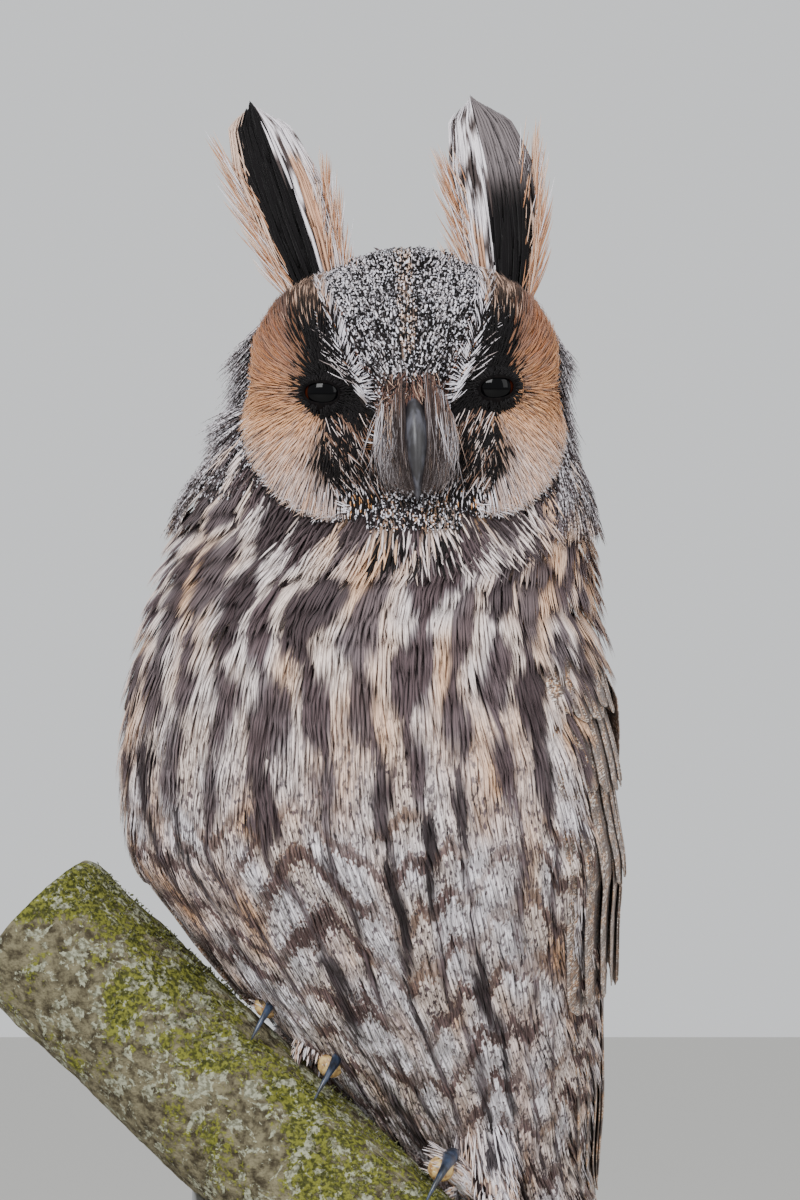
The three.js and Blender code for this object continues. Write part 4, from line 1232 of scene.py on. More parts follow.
def bristles(side, count=600):
    """Long hair from beside the bill's root, bowed out over its sides and in again to its tip."""
    r = draw.uniform(0, 1, (8, count))
    stray = draw.normal(0, 1, (6, count))
    k = r[0]  # 0 beside the bill, 1 furthest out
    long = mix(0.4, 1.0, r[6] ** 0.7)
    splay = 4.0 * np.maximum(stray[5] - 0.5, 0)
    loose = 2.2 * r[4] * smooth(k, 0.6, 1.0)
    tip_out = mix(3.4 + 5.5 * k, 0.6 + 4.6 * k * r[3], long**2)
    root = on_head(BILL_SHIFT + side * (3.4 + 5.4 * k) + 0.4 * stray[0],
                   -43.4 + 3.6 * k + r[1], 2.5 - 7 * k + 3 * r[2])
    bend = on_head(BILL_SHIFT + side * (3.2 + 7.8 * k + loose) + 0.9 * stray[1],
                   -49.9 + 4.8 * k + 0.4 * stray[2], mix(-4.0, -18, long) + 1.6 * stray[3])
    tip = on_head(BILL_SHIFT + side * (tip_out + splay + loose) + 0.5 * stray[4],
                  -50.4 + 2.6 * k + 1.4 * r[4], mix(-9.0, -27.0, long) - 2.0 * r[3])
    out = np.tile(unit(np.array([side * 0.6, -0.8, 0])), (count, 1))
    white, buff = (0.0, 0.05, 0.9, 0), (0.15, 0.55, 0.1, 0)
    grey, dark = (0.4, 0.08, 0.3, 0.1), (0.6, 0.2, 0, 0.5)
    kind = np.clip(r[5] + 0.75 * (0.62 - k), 0, 0.999)
    marks = pick([0.3, 0.12, 0.26, 0.32], [white, buff, grey, dark], kind)
    t = np.linspace(0, 1, STATIONS)[None, :, None]
    marks = mix(marks[:, None], np.array(dark), 0.75 * t**1.2 * long[:, None, None])
    orange = (r[7] < 0.55)[:, None, None] * (1 - smooth(t, 0.12, 0.45))
    marks = mix(marks, np.array([0.45, 0.8, 0.0, 0.15]), orange)
    return root, bend, tip, np.full(count, 0.25), out, marks


# %% [markdown]
# The other hair of the face grows on the skin. Each kind has its own patch, in which it's swept one
# way, with a share for each colour.

# %% Hair swept from the skin
def swept(spacing, choose, direction, length, lift, width=0.4, spread=0.22):
    """Curved hair from sites on the head. direction is for the owl's left, in the head's frame."""
    points, out, local = rooted(spacing, choose, 1.0)[:3]
    count = len(points)
    way = np.tile(direction, (count, 1)) * np.stack([np.sign(local[:, 0]), *np.ones((2, count))], 1)
    way = laid(way @ ROLL.T + spread * draw.normal(size=(count, 3)), out)
    long = (length * draw.uniform(0.7, 1.25, count))[:, None]
    bend = points + way * long * 0.5 + out * long * lift
    tip = points + way * long + out * long * lift * draw.uniform(0.1, 1.0, (count, 1))
    return points, bend, tip, np.full(count, width), out


def dyed(hair, share, options):
    """The given hair with a colour picked for each."""
    marks = pick(share, options, draw.uniform(0, 1, len(hair[0])))
    return (*hair, all_along(marks))


def brow_hairs():
    """The white hair of the brows, thinner towards their upper end."""
    def band(local):
        u, z = across_and_up(local)
        thin = draw.uniform(0, 1, len(u)) < 1.1 - smooth(z, 6, 24)
        on_line = abs(u - border(WHITE_LINE, z)) < 0.8
        return on_line & (z > -6) & (z < 23) & (local[:, 1] < -9) & thin
    return dyed(swept(0.5, band, [0.5, 0.2, 1.0], 4.0, 0.1, 0.34, 0.07), [0.68, 0.16, 0.06, 0.1],
                [(0, 0.03, 0.95, 0), (0.3, 0.05, 0.4, 0), (0.1, 0.5, 0.1, 0), (0.5, 0.2, 0, 0.7)])


def brow_edge():
    """Thin grey hair that spreads from the brow over the black above the eye."""
    def band(local):
        u, z = across_and_up(local)
        off = u - border(WHITE_LINE, z)
        return (off > 0.8) & (off < 4.5) & (z > 2) & (z < 22) & (local[:, 1] < -9)
    return dyed(swept(1.2, band, [1.0, 0.3, 0.9], 5.0, 0.16, 0.28, 0.25), [0.35, 0.3, 0.35],
                [(0.1, 0.05, 0.6, 0), (0.4, 0.2, 0.2, 0.1), (0.5, 0.3, 0, 0.85)])


def cheek_hairs():
    """Loose black hair, some of it cream or rusty, between bill and eye."""
    def patch(local):
        u, z = across_and_up(local)
        between = (u > 9.5) & (u < border(BLACK_EDGE, z) + 1)
        return between & (z < -4) & (z > -22) & (local[:, 1] < -8)
    return dyed(swept(0.9, patch, [-0.6, 0.0, -1.0], 8.0, 0.14, 0.3, 0.14), [0.66, 0.17, 0.17],
                [(0.5, 0.3, 0, 0.92), (0.05, 0.3, 0.4, 0), (0.35, 0.7, 0, 0.1)])


def bill_foot():
    """Short rusty hair over the root of the bill."""
    def foot(local):
        u, z = across_and_up(local)
        return (u < 7) & (abs(z - 1.5) < 4.0) & (local[:, 1] < -20)
    return dyed(swept(0.7, foot, [0.35, -0.4, -1.0], 4.0, 0.25, 0.32, 0.35), [0.4, 0.38, 0.22],
                [(0.45, 0.9, 0, 0.15), (0.6, 0.3, 0, 0.8), (0.2, 0.55, 0.1, 0)])


def rim_hairs():
    """Pale speckled hair round the discs, fanned outwards."""
    def rim(local):
        u, z = across_and_up(local)
        return (abs(rim_of(local) - 1.0) < 0.09) & (u > 17) & (z < 24) & (local[:, 1] < 2)
    return dyed(swept(0.8, rim, [0.8, 0.3, -0.3], 3.4, 0.2, 0.4, 0.3), [0.56, 0.24, 0.2],
                [(0.12, 0.06, 0.7, 0), (0.6, 0.2, 0, 0.5), (0.25, 0.35, 0.1, 0)])


# %% All hair of the face as one piece
def stacked(parts):
    """Several lots of hair as one."""
    return [np.concatenate(rows) for rows in zip(*parts)]


face_locks = stacked([bristles(-1), bristles(1), brow_hairs(), brow_edge(), cheek_hairs(),
                      bill_foot(), rim_hairs()])
face_map = unwrap(face_locks[0][:, 0], face_locks[0][:, 2])
head_pieces.append(curved_locks("brows_and_bristles", *face_locks, SMALL_COAT, face_map))

# %% The ruff under the discs
def ruff_tufts():
    """Small feathers that join the face to the breast, dark along the rim of the discs."""
    angle, z = sites(324, 287, 1.3)
    near = in_head(plumage(angle, z))
    under_face = (rim_of(near) < 1.95) | ((abs(near[:, 0]) < 20) & (near[:, 2] > -46))
    keep = ~facing(near) & under_face & (near[:, 1] < 6)
    angle, z, rim = angle[keep], z[keep], rim_of(near)[keep]
    points, out = frame_on(angle, z, 1.7)[:2]
    local = in_head(points)
    count = len(points)
    r = draw.uniform(0, 1, (2, count))
    side = np.clip(local[:, 0] / 20, -1, 1)
    lie = np.stack([0.55 * side, 0.15 * abs(side), np.full(count, -1.0)], 1) @ ROLL.T
    way = laid(lie, out) + 0.12 * out
    marks = body_marks(angle, z - 4)
    near_rim = (rim < 1.3) & (abs(local[:, 0]) > 9) & (local[:, 2] < 0) & (r[0] < 0.75)
    marks = where(near_rim, paint(0.9, 0.2, 0.0, 0.35), marks)
    chin = (abs(local[:, 0]) < 12) & (r[0] < 0.6)
    speckled = where(r[1] < 0.65, paint(0.6, 0.2, 0.0, 0.8), paint(0.1, 0.3, 0.5, 0.0))
    marks = where(chin, speckled, marks)
    return small_tufts("ruff_tufts", points, way, out, draw.uniform(5.5, 9.0, count),
                       0.72, marks, unwrap(angle, z), SMALL_COAT, TUFT, 0.22, 11)


def side_tufts():
    """Loose pale grey feathers behind the discs, which make the head as broad as its plumage is."""
    angle, z = sites(354, 300, 1.35)
    near = in_head(plumage(angle, z))
    behind_disc = (rim_of(near) > 1.0) | (near[:, 1] > -8)
    keep = behind_disc & (abs(angle) > 1.1) & (abs(angle) < 2.1) & (near[:, 1] < 12)
    angle, z = angle[keep], z[keep]
    points, out, up = frame_on(angle, z, 1.5)
    count = len(points)
    r = draw.uniform(0, 1, (2, count))
    loose = mix(0.1, 0.7, smooth(z, 319, 332)) * (1 - smooth(z, 345, 356))
    loose = loose * np.where(angle < 0, 1.0, 0.5) * draw.uniform(0.6, 1.2, count)
    marks = where(r[0] < 0.3, paint(0.65, 0.1, 0.0, 0.25), paint(0.3, 0.02, 0.45, 0.05))
    low = (1 - smooth(z, 300, 310))[:, None]
    marks = mix(marks, body_marks(angle, z - 5), low)
    long = draw.uniform(8.0, 11.5, count) * mix(1.0, 1.3, smooth(z, 319, 332))
    return small_tufts("side_tufts", points, loose[:, None] * out - up, out, long, 1.1, marks,
                       unwrap(angle, z), SIDE_COAT, TUFT, 0.13, 17)


head_pieces += [ruff_tufts(), side_tufts()]

# %% The line, the outline and the marks of an ear tuft
EAR_TUFTS = {  # root, bend and tip in the head's frame
    "right": np.array([(-22, -9, 24), (-31.5, -5, 56), (-40, -2, 80.5)]),
    "left": np.array([(26.5, -9, 22), (28.5, -5, 57), (19.5, -2, 80.5)]),
}


def tuft_middle(name, s):
    return curve(*EAR_TUFTS[name], s[..., None])


def tuft_half(s):
    """Half the width of an ear tuft at a share of its length."""
    return np.interp(s, [0, 0.3, 0.6, 0.85, 1], [7.4, 11.0, 11.6, 8.4, 0.8])


def tuft_marks(across, along, r, side):
    """Across is -1 at the outer edge of the tuft and 1 at its inner edge."""
    a = across + 0.2 * (r[0] - 0.5)[:, None]
    spots = soft_noise(across * 7, along * 17 + side, 51) + 0.6 * (r[1] - 0.5)[:, None]
    mottled = where(spots > 0.1, paint(0.55, 0.1, 0.0, 0.45), paint(0.05, 0.08, 0.7, 0))
    black = paint(0.3, 0.2, 0.0, 0.95)
    marks = where(a < -0.72, paint(0.0, 0.42, 0.2, 0.0), black)
    marks = where(a > 0.22, mottled, marks)
    inner = where(a < 0.68, paint(0.05, 0.66, 0.05, 0), paint(0, 0.25, 0.6, 0))
    low = along < (0.7 if side < 0 else 0.35)
    marks = where((a > 0.4) & low, inner, marks)
    if side > 0:
        smoke = smooth(along, 0.4, 0.62)
        smoky = paint(0.55, 0.05, 0.16 * smoke, mix(0.9, 0.25, smoke))
        marks = where((a < 0.22) & (along > 0.42), smoky, marks)
    return marks


# %% Feathers and fringe of the ear tufts
def ear_tuft(name, count=900):
    """Narrow feathers side by side, whose roots climb up the middle of the tuft."""
    side = SIDES[name]
    r = draw.uniform(0, 1, (6, count))
    across = mix(-1, 1, (np.arange(count) + 0.5) / count)
    layer = draw.uniform(-1, 1, count)
    start = mix(0.0, 0.72, r[2] ** 0.9)
    stop = np.minimum(start + mix(0.26, 0.4, r[3]), 1 - 0.1 * abs(across) ** 1.5 - 0.03 * r[5])
    start = np.minimum(start, stop - 0.12)
    t = np.linspace(0, 1, STATIONS)
    s = mix(start[:, None], stop[:, None], t[None])
    centre = tuft_middle(name, s)
    x = centre[..., 0] - side * across[:, None] * tuft_half(s)
    y = centre[..., 1] + layer[:, None] * 3.4 * (1 - 0.55 * s) - 0.6 * t[None]
    y = y + 2.2 * (1 - s) * across[:, None] ** 2
    path = on_head(x, y, centre[..., 2])
    out = np.broadcast_to(unit(np.array([0.2 * side, -1.0, 0.0])), path.shape)
    width = mix(1.15, 0.5, smooth(abs(across), 0.5, 0.9))[:, None]
    share = np.interp(t, [0, 0.3, 0.7, 1], [0.6, 1, 0.8, 0.1])
    marks = tuft_marks(np.repeat(across[:, None], STATIONS, 1), s, r, side)
    piece = locks("ear_tuft_feathers_" + name, path, out, width * share, 0.2 * width * share, marks,
                  r[4], unwrap(across, start))
    piece.data.materials.append(SMALL_COAT)
    print(piece.name, triangles_in(piece), "triangles")
    return piece


def tuft_fringe(name, count=560):
    """Fine loose hair along both edges of an ear tuft and round its root."""
    side = SIDES[name]
    r = draw.uniform(0, 1, (7, count))
    outer = r[0] < 0.55
    s = np.where(outer, 0.6 * r[1], 0.5 * r[1])
    apart = tuft_half(s)
    edge = np.where(outer, 1.0, -1.0) * side
    place = np.where(r[2] < 0.2, 0.6, 0.92)
    centre = tuft_middle(name, s)
    up = unit(EAR_TUFTS[name][2] - EAR_TUFTS[name][0])
    start = centre + np.stack([edge * apart * place, draw.uniform(-2.2, 1.0, count), 0 * s], 1)
    long = 7 + 9 * r[3]
    away = 0.12 + 0.4 * r[4] * (1 - s)
    swing = np.stack([edge * away, -0.12 + 0.2 * (r[5] - 0.5), 0 * s], 1)
    middle = start + up * (0.5 * long)[:, None] + swing * (0.7 * long)[:, None]
    end = start + up * (0.95 * long)[:, None] + swing * (1.15 * long)[:, None]
    marks = pick([0.42, 0.4, 0.18], [(0, 0.48, 0.15, 0), (0.05, 0.76, 0, 0), (0, 0.1, 0.8, 0)], r[6])
    out = np.tile(np.array([0.0, -1.0, 0.0]), (count, 1))
    places = [on_head(*v.T) for v in (start, middle, end)]
    return curved_locks("ear_tuft_fringe_" + name, *places, np.full(count, 0.32), out,
                        all_along(marks), SMALL_COAT, unwrap(start[:, 0], s))


tuft_pieces = {name: ear_tuft(name) for name in EAR_TUFTS}
head_pieces += [tuft_fringe(name) for name in EAR_TUFTS]

# %% [markdown]
# ## Wings and tail
# Flight feathers are stiff vanes, so each is one closed blade with a raised shaft, a little
# camber and a few nicks in its edges. The rows follow the tiers of the solids, with more and
# narrower feathers in each. Their bars are painted across the vane by the material, which knows
# every point's distance from the shaft and from the tip.

# %% Vanes from arrays
def feather_outline(t, kind):
    """The breadth of a vane from its root to its rounded tip."""
    if kind == "long":
        body = np.interp(t, [0, 0.12, 0.38, 0.85], [0.3, 0.62, 1, 0.92])
    else:
        body = np.interp(t, [0, 0.3, 0.62, 0.8], [0.45, 0.86, 1, 0.97])
    return body * np.sqrt(np.clip(1 - np.clip((t - 0.84) / 0.165, 0, 1) ** 2.2, 0, 1))


GRID = 8  # vanes of one piece lie in a square of GRID by GRID cells for the baked colours
VANE_SECTION = np.array([1, 0.72, 0.4, 0.09, 0, -0.09, -0.4, -0.72, -1.0])  # from edge to edge


def vanes(name, path, out, width, tone, material, kind="long", thick=0.3, first=0):
    """Closed vanes: path and out are n x m x 3, width n, tone n x 3 numbers for the material."""
    n, m = path.shape[:2]
    a = VANE_SECTION
    t = np.linspace(0, 1, m)
    ahead = unit(np.gradient(path, axis=1))
    across = unit(np.cross(out, ahead))
    over = np.cross(ahead, across)
    share = np.maximum(feather_outline(t, kind), 0.05)[None, :, None]
    nick = 1 - 0.16 * np.maximum(draw.normal(0, 1, (n, m, 2)) - 1.1, 0) * (t > 0.25)[None, :, None]
    edge = np.where(a[None, None] > 0, nick[:, :, :1], nick[:, :, 1:])
    width = width[:, None, None]
    half = width / 2 * share * np.where(abs(a) > 0.9, edge, 1.0)
    shaft = 0.45 * (abs(a) < 0.05) * (1 - 0.7 * t[None, :, None]) + 0 * half
    height = shaft + thick / 2 - 0.07 * (half * a) ** 2 / np.maximum(width / 2, 1)
    flat = path[:, :, None] + across[:, :, None] * (half * a)[..., None]
    top = flat + over[:, :, None] * height[..., None]
    low = flat + over[:, :, None] * (height - shaft - thick)[..., None]
    ring = np.concatenate([top, low[:, :, ::-1]], axis=2)
    sides = 2 * len(a)
    start = (np.arange(n * m) * sides).reshape(n, m)
    quads = quads_between(start[:, :-1, None], start[:, 1:, None], sides)
    j = np.arange(len(a) - 1)
    root, tip = start[:, :1], start[:, -1:]
    caps = [np.stack([root + j, root + sides - 1 - j, root + sides - 2 - j, root + j + 1], -1),
            np.stack([tip + j, tip + j + 1, tip + sides - 2 - j, tip + sides - 1 - j], -1)]
    faces = np.concatenate([quads] + [c.reshape(-1, 4) for c in caps])
    piece = new_piece(name, ring.reshape(-1, 3), faces)
    both = np.concatenate([a, a[::-1]])[None, None]
    along = t[None, :, None]
    length = np.linalg.norm(np.diff(path, axis=1), axis=-1).sum(1)[:, None, None]
    vane = np.broadcast_arrays(both * width / 2, along * length, both + 0 * length)
    put(piece.data, "vane", np.stack(vane, -1))
    put(piece.data, "tone", np.repeat(tone, m * sides, axis=0))
    cell = (first + np.arange(n))[:, None, None]
    u = (cell % GRID + 0.5 + 0.45 * (both + 0 * along)) / GRID
    v = (cell // GRID + 0.04 + 0.92 * (along + 0 * both)) / GRID
    put_patches(piece.data, np.stack([u, v], -1).reshape(-1, 2))
    piece.data.materials.append(material)
    return piece


# %% The group for barred vanes, and three finishes from it
def vane_group():
    group, given = new_group(
        "Barred vane",
        [("Ground", COLOUR, srgb(150, 134, 124)), ("Warm", COLOUR, srgb(194, 146, 100)),
         ("Bar", COLOUR, srgb(62, 51, 49)), ("Pale", COLOUR, srgb(224, 218, 214)),
         ("Bar step", FLOAT, 11.0), ("Bar share", FLOAT, 0.6), ("Mottle", FLOAT, 0.6),
         ("Shaft streak", FLOAT, 0.3), ("Pale edge", FLOAT, 0.4)])
    vane = split_xyz(group, attribute(group, "vane")["Vector"])
    tone = split_xyz(group, attribute(group, "tone")["Vector"])
    side = math_node(group, "ABSOLUTE", vane["X"])
    seeded = join_xyz(group, vane["X"], vane["Y"], times(group, tone["X"], 90.0))
    cloud = noise(group, seeded, 0.32, 2.0)
    fine = noise(group, stretched(group, seeded, (0.55, 1.5, 1.0)), 1.5, 2.5)
    bent = plus(group, vane["Y"], times(group, cloud, 7.0))
    bent = minus(group, bent, times(group, side, 0.35))
    turn = times(group, math_node(group, "DIVIDE", bent, given["Bar step"]), 2 * math.pi)
    wave = math_node(group, "SINE", turn)
    bars = times(group, ramp(group, wave, 0.05, 0.45), given["Bar share"])
    mottle = times(group, ramp(group, fine, 0.47, 0.6), given["Mottle"])
    streak = times(group, ramp(group, side, 2.2, 0.5), given["Shaft streak"])
    colour = blend(group, ramp(group, cloud, 0.42, 0.66), given["Ground"], given["Warm"])
    freckles = times(group, ramp(group, fine, 0.47, 0.36), given["Mottle"])
    colour = blend(group, freckles, colour, given["Pale"])
    colour = blend(group, greater(group, greater(group, bars, mottle), streak), colour, given["Bar"])
    ratio = math_node(group, "ABSOLUTE", vane["Z"])
    edge = times(group, ramp(group, ratio, 0.8, 0.98), given["Pale edge"])
    colour = blend(group, edge, colour, given["Pale"])
    # The barb lines raise the relief and also lighten and darken the colour a little by the same wave:
    # painted shade between the barbs.
    slant = minus(group, vane["Y"], times(group, side, 1.1))
    barb = math_node(group, "SINE", times(group, slant, 8.5))
    level = plus(group, times(group, tone["Y"], 0.22), 0.89)
    return put_out(group, colour, plus(group, times(group, barb, 0.06), level), barb)


BARRED_VANE = vane_group()


def vane_material(name, **values):
    return group_material(name, BARRED_VANE, (0.62, 0.15, 0.3), 0.0002, values)


FLIGHT = vane_material("flight feathers", Mottle=0.6, Bar_share=0.9, Bar_step=13.0, Pale_edge=0.08)
COVERT = vane_material("wing coverts", Bar_step=9.0, Bar_share=0.6, Shaft_streak=0.9,
                       Ground=srgb(134, 112, 98), Warm=srgb(186, 136, 90), Mottle=0.95,
                       Pale_edge=0.16)
TAIL_VANE = vane_material("tail feathers", Bar_step=12.0, Bar_share=0.88, Mottle=0.5,
                          Ground=srgb(172, 150, 130))

# %% The rows of a wing
TIERS = [  # name, count, root and tip angles, root and tip heights, width, inset, roll, shape
    ("secondary", 10, (142, 84), (156, 94), (212, 200), (126, 112), 14.0, 8, "long"),
    ("first", 10, (142, 78), (150, 80), (226, 218), (182, 166), 14.5, 9, "short"),
    ("covert", 11, (141, 76), (148, 77), (242, 236), (208, 198), 13.5, 9, "short"),
    ("covert", 9, (136, 75), (142, 76), (256, 252), (230, 224), 14.0, 9, "short"),
    ("covert", 7, (117, 75), (122, 76), (268, 266), (247, 245), 13.5, 9, "short"),
    ("primary", 7, (108, 72), (150, 118), (191, 191), (88, 34), 12.5, 5, "long"),
    ("scapular", 7, (145, 116), (163, 134), (273, 270), (200, 230), 13.5, 11, "short"),
]
INSETS = {
    "secondary": lambda t, z: mix(7.8, 2.4, t**0.9),
    "first": lambda t, z: mix(7.6, 1.8, np.sqrt(t)),
    "covert": lambda t, z: mix(7.8, 2.6, np.sqrt(t)),
    "primary": lambda t, z: mix(2.2, 8.6, smooth(z, 92, 138)),
    "scapular": lambda t, z: mix(8.5, 0.7, np.minimum(1, 2.2 * t)),
}


def rolled(out, path, angle):
    """Turns directions about the way a feather runs."""
    ahead = unit(np.gradient(path, axis=1))
    c, s = np.cos(angle), np.sin(angle)
    return out * c + np.cross(ahead, out) * s + ahead * (ahead * out).sum(-1, keepdims=True) * (1 - c)


def wing(name, side):
    """All vanes of a wing, tier by tier, with a little disorder in where each one ends."""
    pieces, done = [], 0
    for kind, count, root, tip, root_z, tip_z, width, roll, shape in TIERS:
        share = np.linspace(0, 1, count)
        stations = 22 if shape == "long" else 16
        t = np.linspace(0, 1, stations)[None]
        wobble = draw.normal(0, 0.9, (count, 1))
        start = side * np.radians(mix(root[0], root[1], share))[:, None]
        stop = side * np.radians(mix(tip[0], tip[1], share)[:, None] + wobble)
        angle = mix(start, stop, t)
        z = mix(mix(root_z[0], root_z[1], share)[:, None],
                mix(tip_z[0], tip_z[1], share)[:, None] + draw.normal(0, 1.1, (count, 1)), t)
        inset = INSETS[kind](t + 0 * z, z)
        path = plumage(angle, z, inset)
        out = unit(plumage(angle, z, inset - 2) - path)
        path = clear_of_branch(path, 1.2)
        out = rolled(out, path, -side * math.radians(roll))
        tone = draw.uniform(0, 1, (count, 3))
        material = FLIGHT if shape == "long" else COVERT
        wide = np.full(count, width) * draw.uniform(0.94, 1.06, count)
        pieces.append(vanes(name + "_" + kind, path, out, wide, tone, material, shape, first=done))
        done += count
    joined = join(name, pieces)
    print(name, triangles_in(joined), "triangles")
    return joined


def join(name, pieces):
    with bpy.context.temp_override(active_object=pieces[0], selected_editable_objects=pieces):
        bpy.ops.object.join()
    pieces[0].name = name
    return pieces[0]


wings = {name: wing("wing_feathers_" + name, side) for name, side in SIDES.items()}

# %% The tail
TAIL_ROOT = 136


def tail_feathers(count=12):
    """A closed fan of vanes, the outer ones under the middle ones."""
    place = np.arange(count) - (count - 1) / 2
    share = 2 * place / (count - 1)
    t = np.linspace(0, 1, 24)[None]
    tip_z = 21.2 + 3.5 * share**2
    left = share[:, None] * mix(9, 21.5, np.sqrt(t))
    z = mix(TAIL_ROOT, tip_z[:, None], t)
    (turn, x, y), depth = section(z)[:3], section(z)[4]
    inset = mix(8.2, 9.6, smooth(TAIL_ROOT - z, 0, 30))
    back = depth - inset - 0.006 * left**2 - 0.55 * abs(place)[:, None] - 0.8 * (1 - t)
    path = beside(turn, x, y, left, back, z)
    away = plumage(math.pi, z) - plumage(math.pi, z, 3)
    out = rolled(unit(away), path, np.radians(5) * np.sign(place)[:, None, None])
    order = np.argsort(-abs(place))
    return vanes("tail_vanes", path[order], out[order], np.full(count, 14.0),
                 draw.uniform(0, 1, (count, 3)), TAIL_VANE, "long")


tail = tail_feathers()
print("tail", triangles_in(tail), "triangles")

# %% [markdown]
# ## Eyes, lids and bill
# The eye is a wet ball with a low bulge in front, a wide black pupil and a dark orange-brown iris
# of which only the rim shows, since the lids are half shut. The clear cornea is a glossy coat on
# the shader. Lids are a thin dark rim that lies on the ball, and the bill is lofted along its hook.

# %% Eyeballs
EYE_RADIUS = 7.6
EYE_AT = {side: np.array([side * 22.8, -27.4, 0.8]) for side in (-1, 1)}


def at_eye(side, x, y, z):
    """A place given from the middle of an eyeball."""
    middle = EYE_AT[side]
    return on_head(middle[0] + x, middle[1] + y, middle[2] + z)




def eye_piece(name, side, rows=44, sides=56):
    """The eyeball, with each point's angle from the middle of the pupil and round it."""
    pole = 0.012
    theta = np.linspace(pole, math.pi - pole, rows)[:, None]
    turn = full_turn(sides)[None]
    radius = EYE_RADIUS * (1 + 0.05 * smooth(np.cos(theta), 0.72, 0.98))
    x = radius * np.sin(theta) * np.cos(turn)
    z = radius * np.sin(theta) * np.sin(turn)
    y = -radius * np.cos(theta) + 0 * turn
    piece = closed_from_rings(name, [at_eye(side, x, y, z)])
    look = np.concatenate([np.broadcast_to(theta, x.shape).ravel(), [0, math.pi]])
    spin = np.concatenate([np.broadcast_to(turn, x.shape).ravel(), [0, 0]])
    put(piece.data, "look", np.stack([look, np.cos(spin), np.sin(spin)], 1))
    return piece


def eye_material():
    material, tree, shader = new_material("wet eye", 0.06, IOR=1.16, Coat_Weight=0.08,
                                          Coat_Roughness=0.03)
    look = split_xyz(tree, attribute(tree, "look")["Vector"])
    rays = join_xyz(tree, times(tree, look["Y"], 9.0), times(tree, look["Z"], 9.0),
                    times(tree, look["X"], 2.0))
    iris = blend(tree, noise(tree, rays, 3.0, 3.0), srgb(28, 10, 6), srgb(64, 26, 12))
    colour = blend(tree, ramp(tree, look["X"], 0.6, 0.66), srgb(3, 3, 4), iris)
    colour = blend(tree, ramp(tree, look["X"], 0.84, 0.95), colour, srgb(14, 9, 8))
    feed(tree, shader.inputs["Base Color"], colour)
    return material


EYE_MATERIAL = eye_material()


# %% Lids
OPENING = {"middle": 0.8, "half": 4.4, "up": 2.4, "down": 2.8}


def lid_place(side, turn, grow, lift):
    """A place on the lids: round the opening, outwards from its lip, and off the ball."""
    up, down = OPENING["up"], OPENING["down"]
    x = OPENING["half"] * np.sign(np.cos(turn)) * abs(np.cos(turn)) ** 0.85
    z = np.where(np.sin(turn) > 0, up * abs(np.sin(turn)) ** 0.9, -down * abs(np.sin(turn)) ** 0.8)
    z = z + 0.06 * x * side
    length = np.hypot(x, z)
    gx = x * (1 + grow / length) + side * OPENING["middle"]
    gz = z * (1 + grow / length)
    far = np.hypot(gx, gz)
    k = np.minimum(far, 0.985 * (EYE_RADIUS + 0.6)) / np.maximum(far, 1e-6)
    gx, gz = gx * k, gz * k
    reach = (EYE_RADIUS + np.maximum(lift, 0.0) + 0.35) ** 2 - gx**2 - gz**2
    gy = -np.sqrt(np.maximum(reach, 0.5)) - np.minimum(lift, 0)
    return at_eye(side, gx, gy, gz)


LID_SECTION = [(0, 0.1), (0.12, 0.35), (0.6, 0.5), (1.7, 0.4), (3.2, 0.15),
               (4.4, -1.4), (3.6, -2.3), (0.5, -0.9)]  # away from the lip, and off the ball


def lids_piece(name, side, steps=72):
    """A closed ring round the opening: lip, lid and an edge that dives under the feathers."""
    rings = [lid_place(side, full_turn(steps), grow, lift) for grow, lift in LID_SECTION]
    start = np.arange(len(rings))[:, None] * steps
    quads = quads_between(start, np.roll(start, -1, axis=0), steps)
    return new_piece(name, np.concatenate(rings), quads)


# %% Lashes
def lashes(count=640):
    """Short hair that grows on the lids and covers all of them but the lip."""
    parts = []
    for side in (-1, 1):
        turn = draw.uniform(0, 2 * math.pi, count)
        from_lip = 0.5 + 3.6 * draw.uniform(0, 1, count)
        long = draw.uniform(1.6, 3.2, count)
        places = [lid_place(side, turn + swing * draw.normal(0, 1, count), from_lip + share * long, lift)
                  for swing, share, lift in ((0, 0, 0.35), (0.04, 0.5, 1.0), (0.1, 1.0, 0.9))]
        middle = at_eye(side, 0, 0, 0)
        outer = smooth(np.cos(turn) * side, 0.35, 0.9) * smooth(from_lip, 0.8, 2.0)
        tan = draw.uniform(0, 1, count) < 0.75 * outer
        marks = np.where(tan[:, None], [0.2, 0.7, 0.05, 0.0], [0.5, 0.3, 0.0, 0.93])
        parts.append((*places, np.full(count, 0.4), unit(places[0] - middle),
                      all_along(marks)))
    lash = stacked(parts)
    return curved_locks("lashes", *lash, FACE_COAT, unwrap(lash[0][:, 0], lash[0][:, 2]))


# %% Eyes and lids in place
def noisy_material(name, dark, light, scale, roughness, strength=0.3, stretch=(1, 1, 1), **sockets):
    """A finish whose tone and relief come from one noise in the piece's own coordinates."""
    material, tree, shader = new_material(name, roughness, **sockets)
    grain = noise(tree, stretched(tree, own_place(tree), stretch), scale, 5.0)
    colour = blend(tree, ramp(tree, grain, 0.35, 0.65), dark, light)
    surface(tree, shader, colour, grain, strength)
    return material


LID_SKIN = noisy_material("lid skin", srgb(6, 5, 6), srgb(14, 11, 11), 900, 0.95,
                         Specular_IOR_Level=0.08)
head_pieces.append(lashes())
eyes, lids = {}, {}
for name, side in SIDES.items():
    eyes[name] = eye_piece("eyeball_" + name, side)
    lids[name] = lids_piece("eyelids_" + name, side)
    for piece, material in ((eyes[name], EYE_MATERIAL), (lids[name], LID_SKIN)):
        piece.data.materials.append(material)
        face_out(piece)
    print(name, "eye and lids", triangles_in(eyes[name]), triangles_in(lids[name]), "triangles")


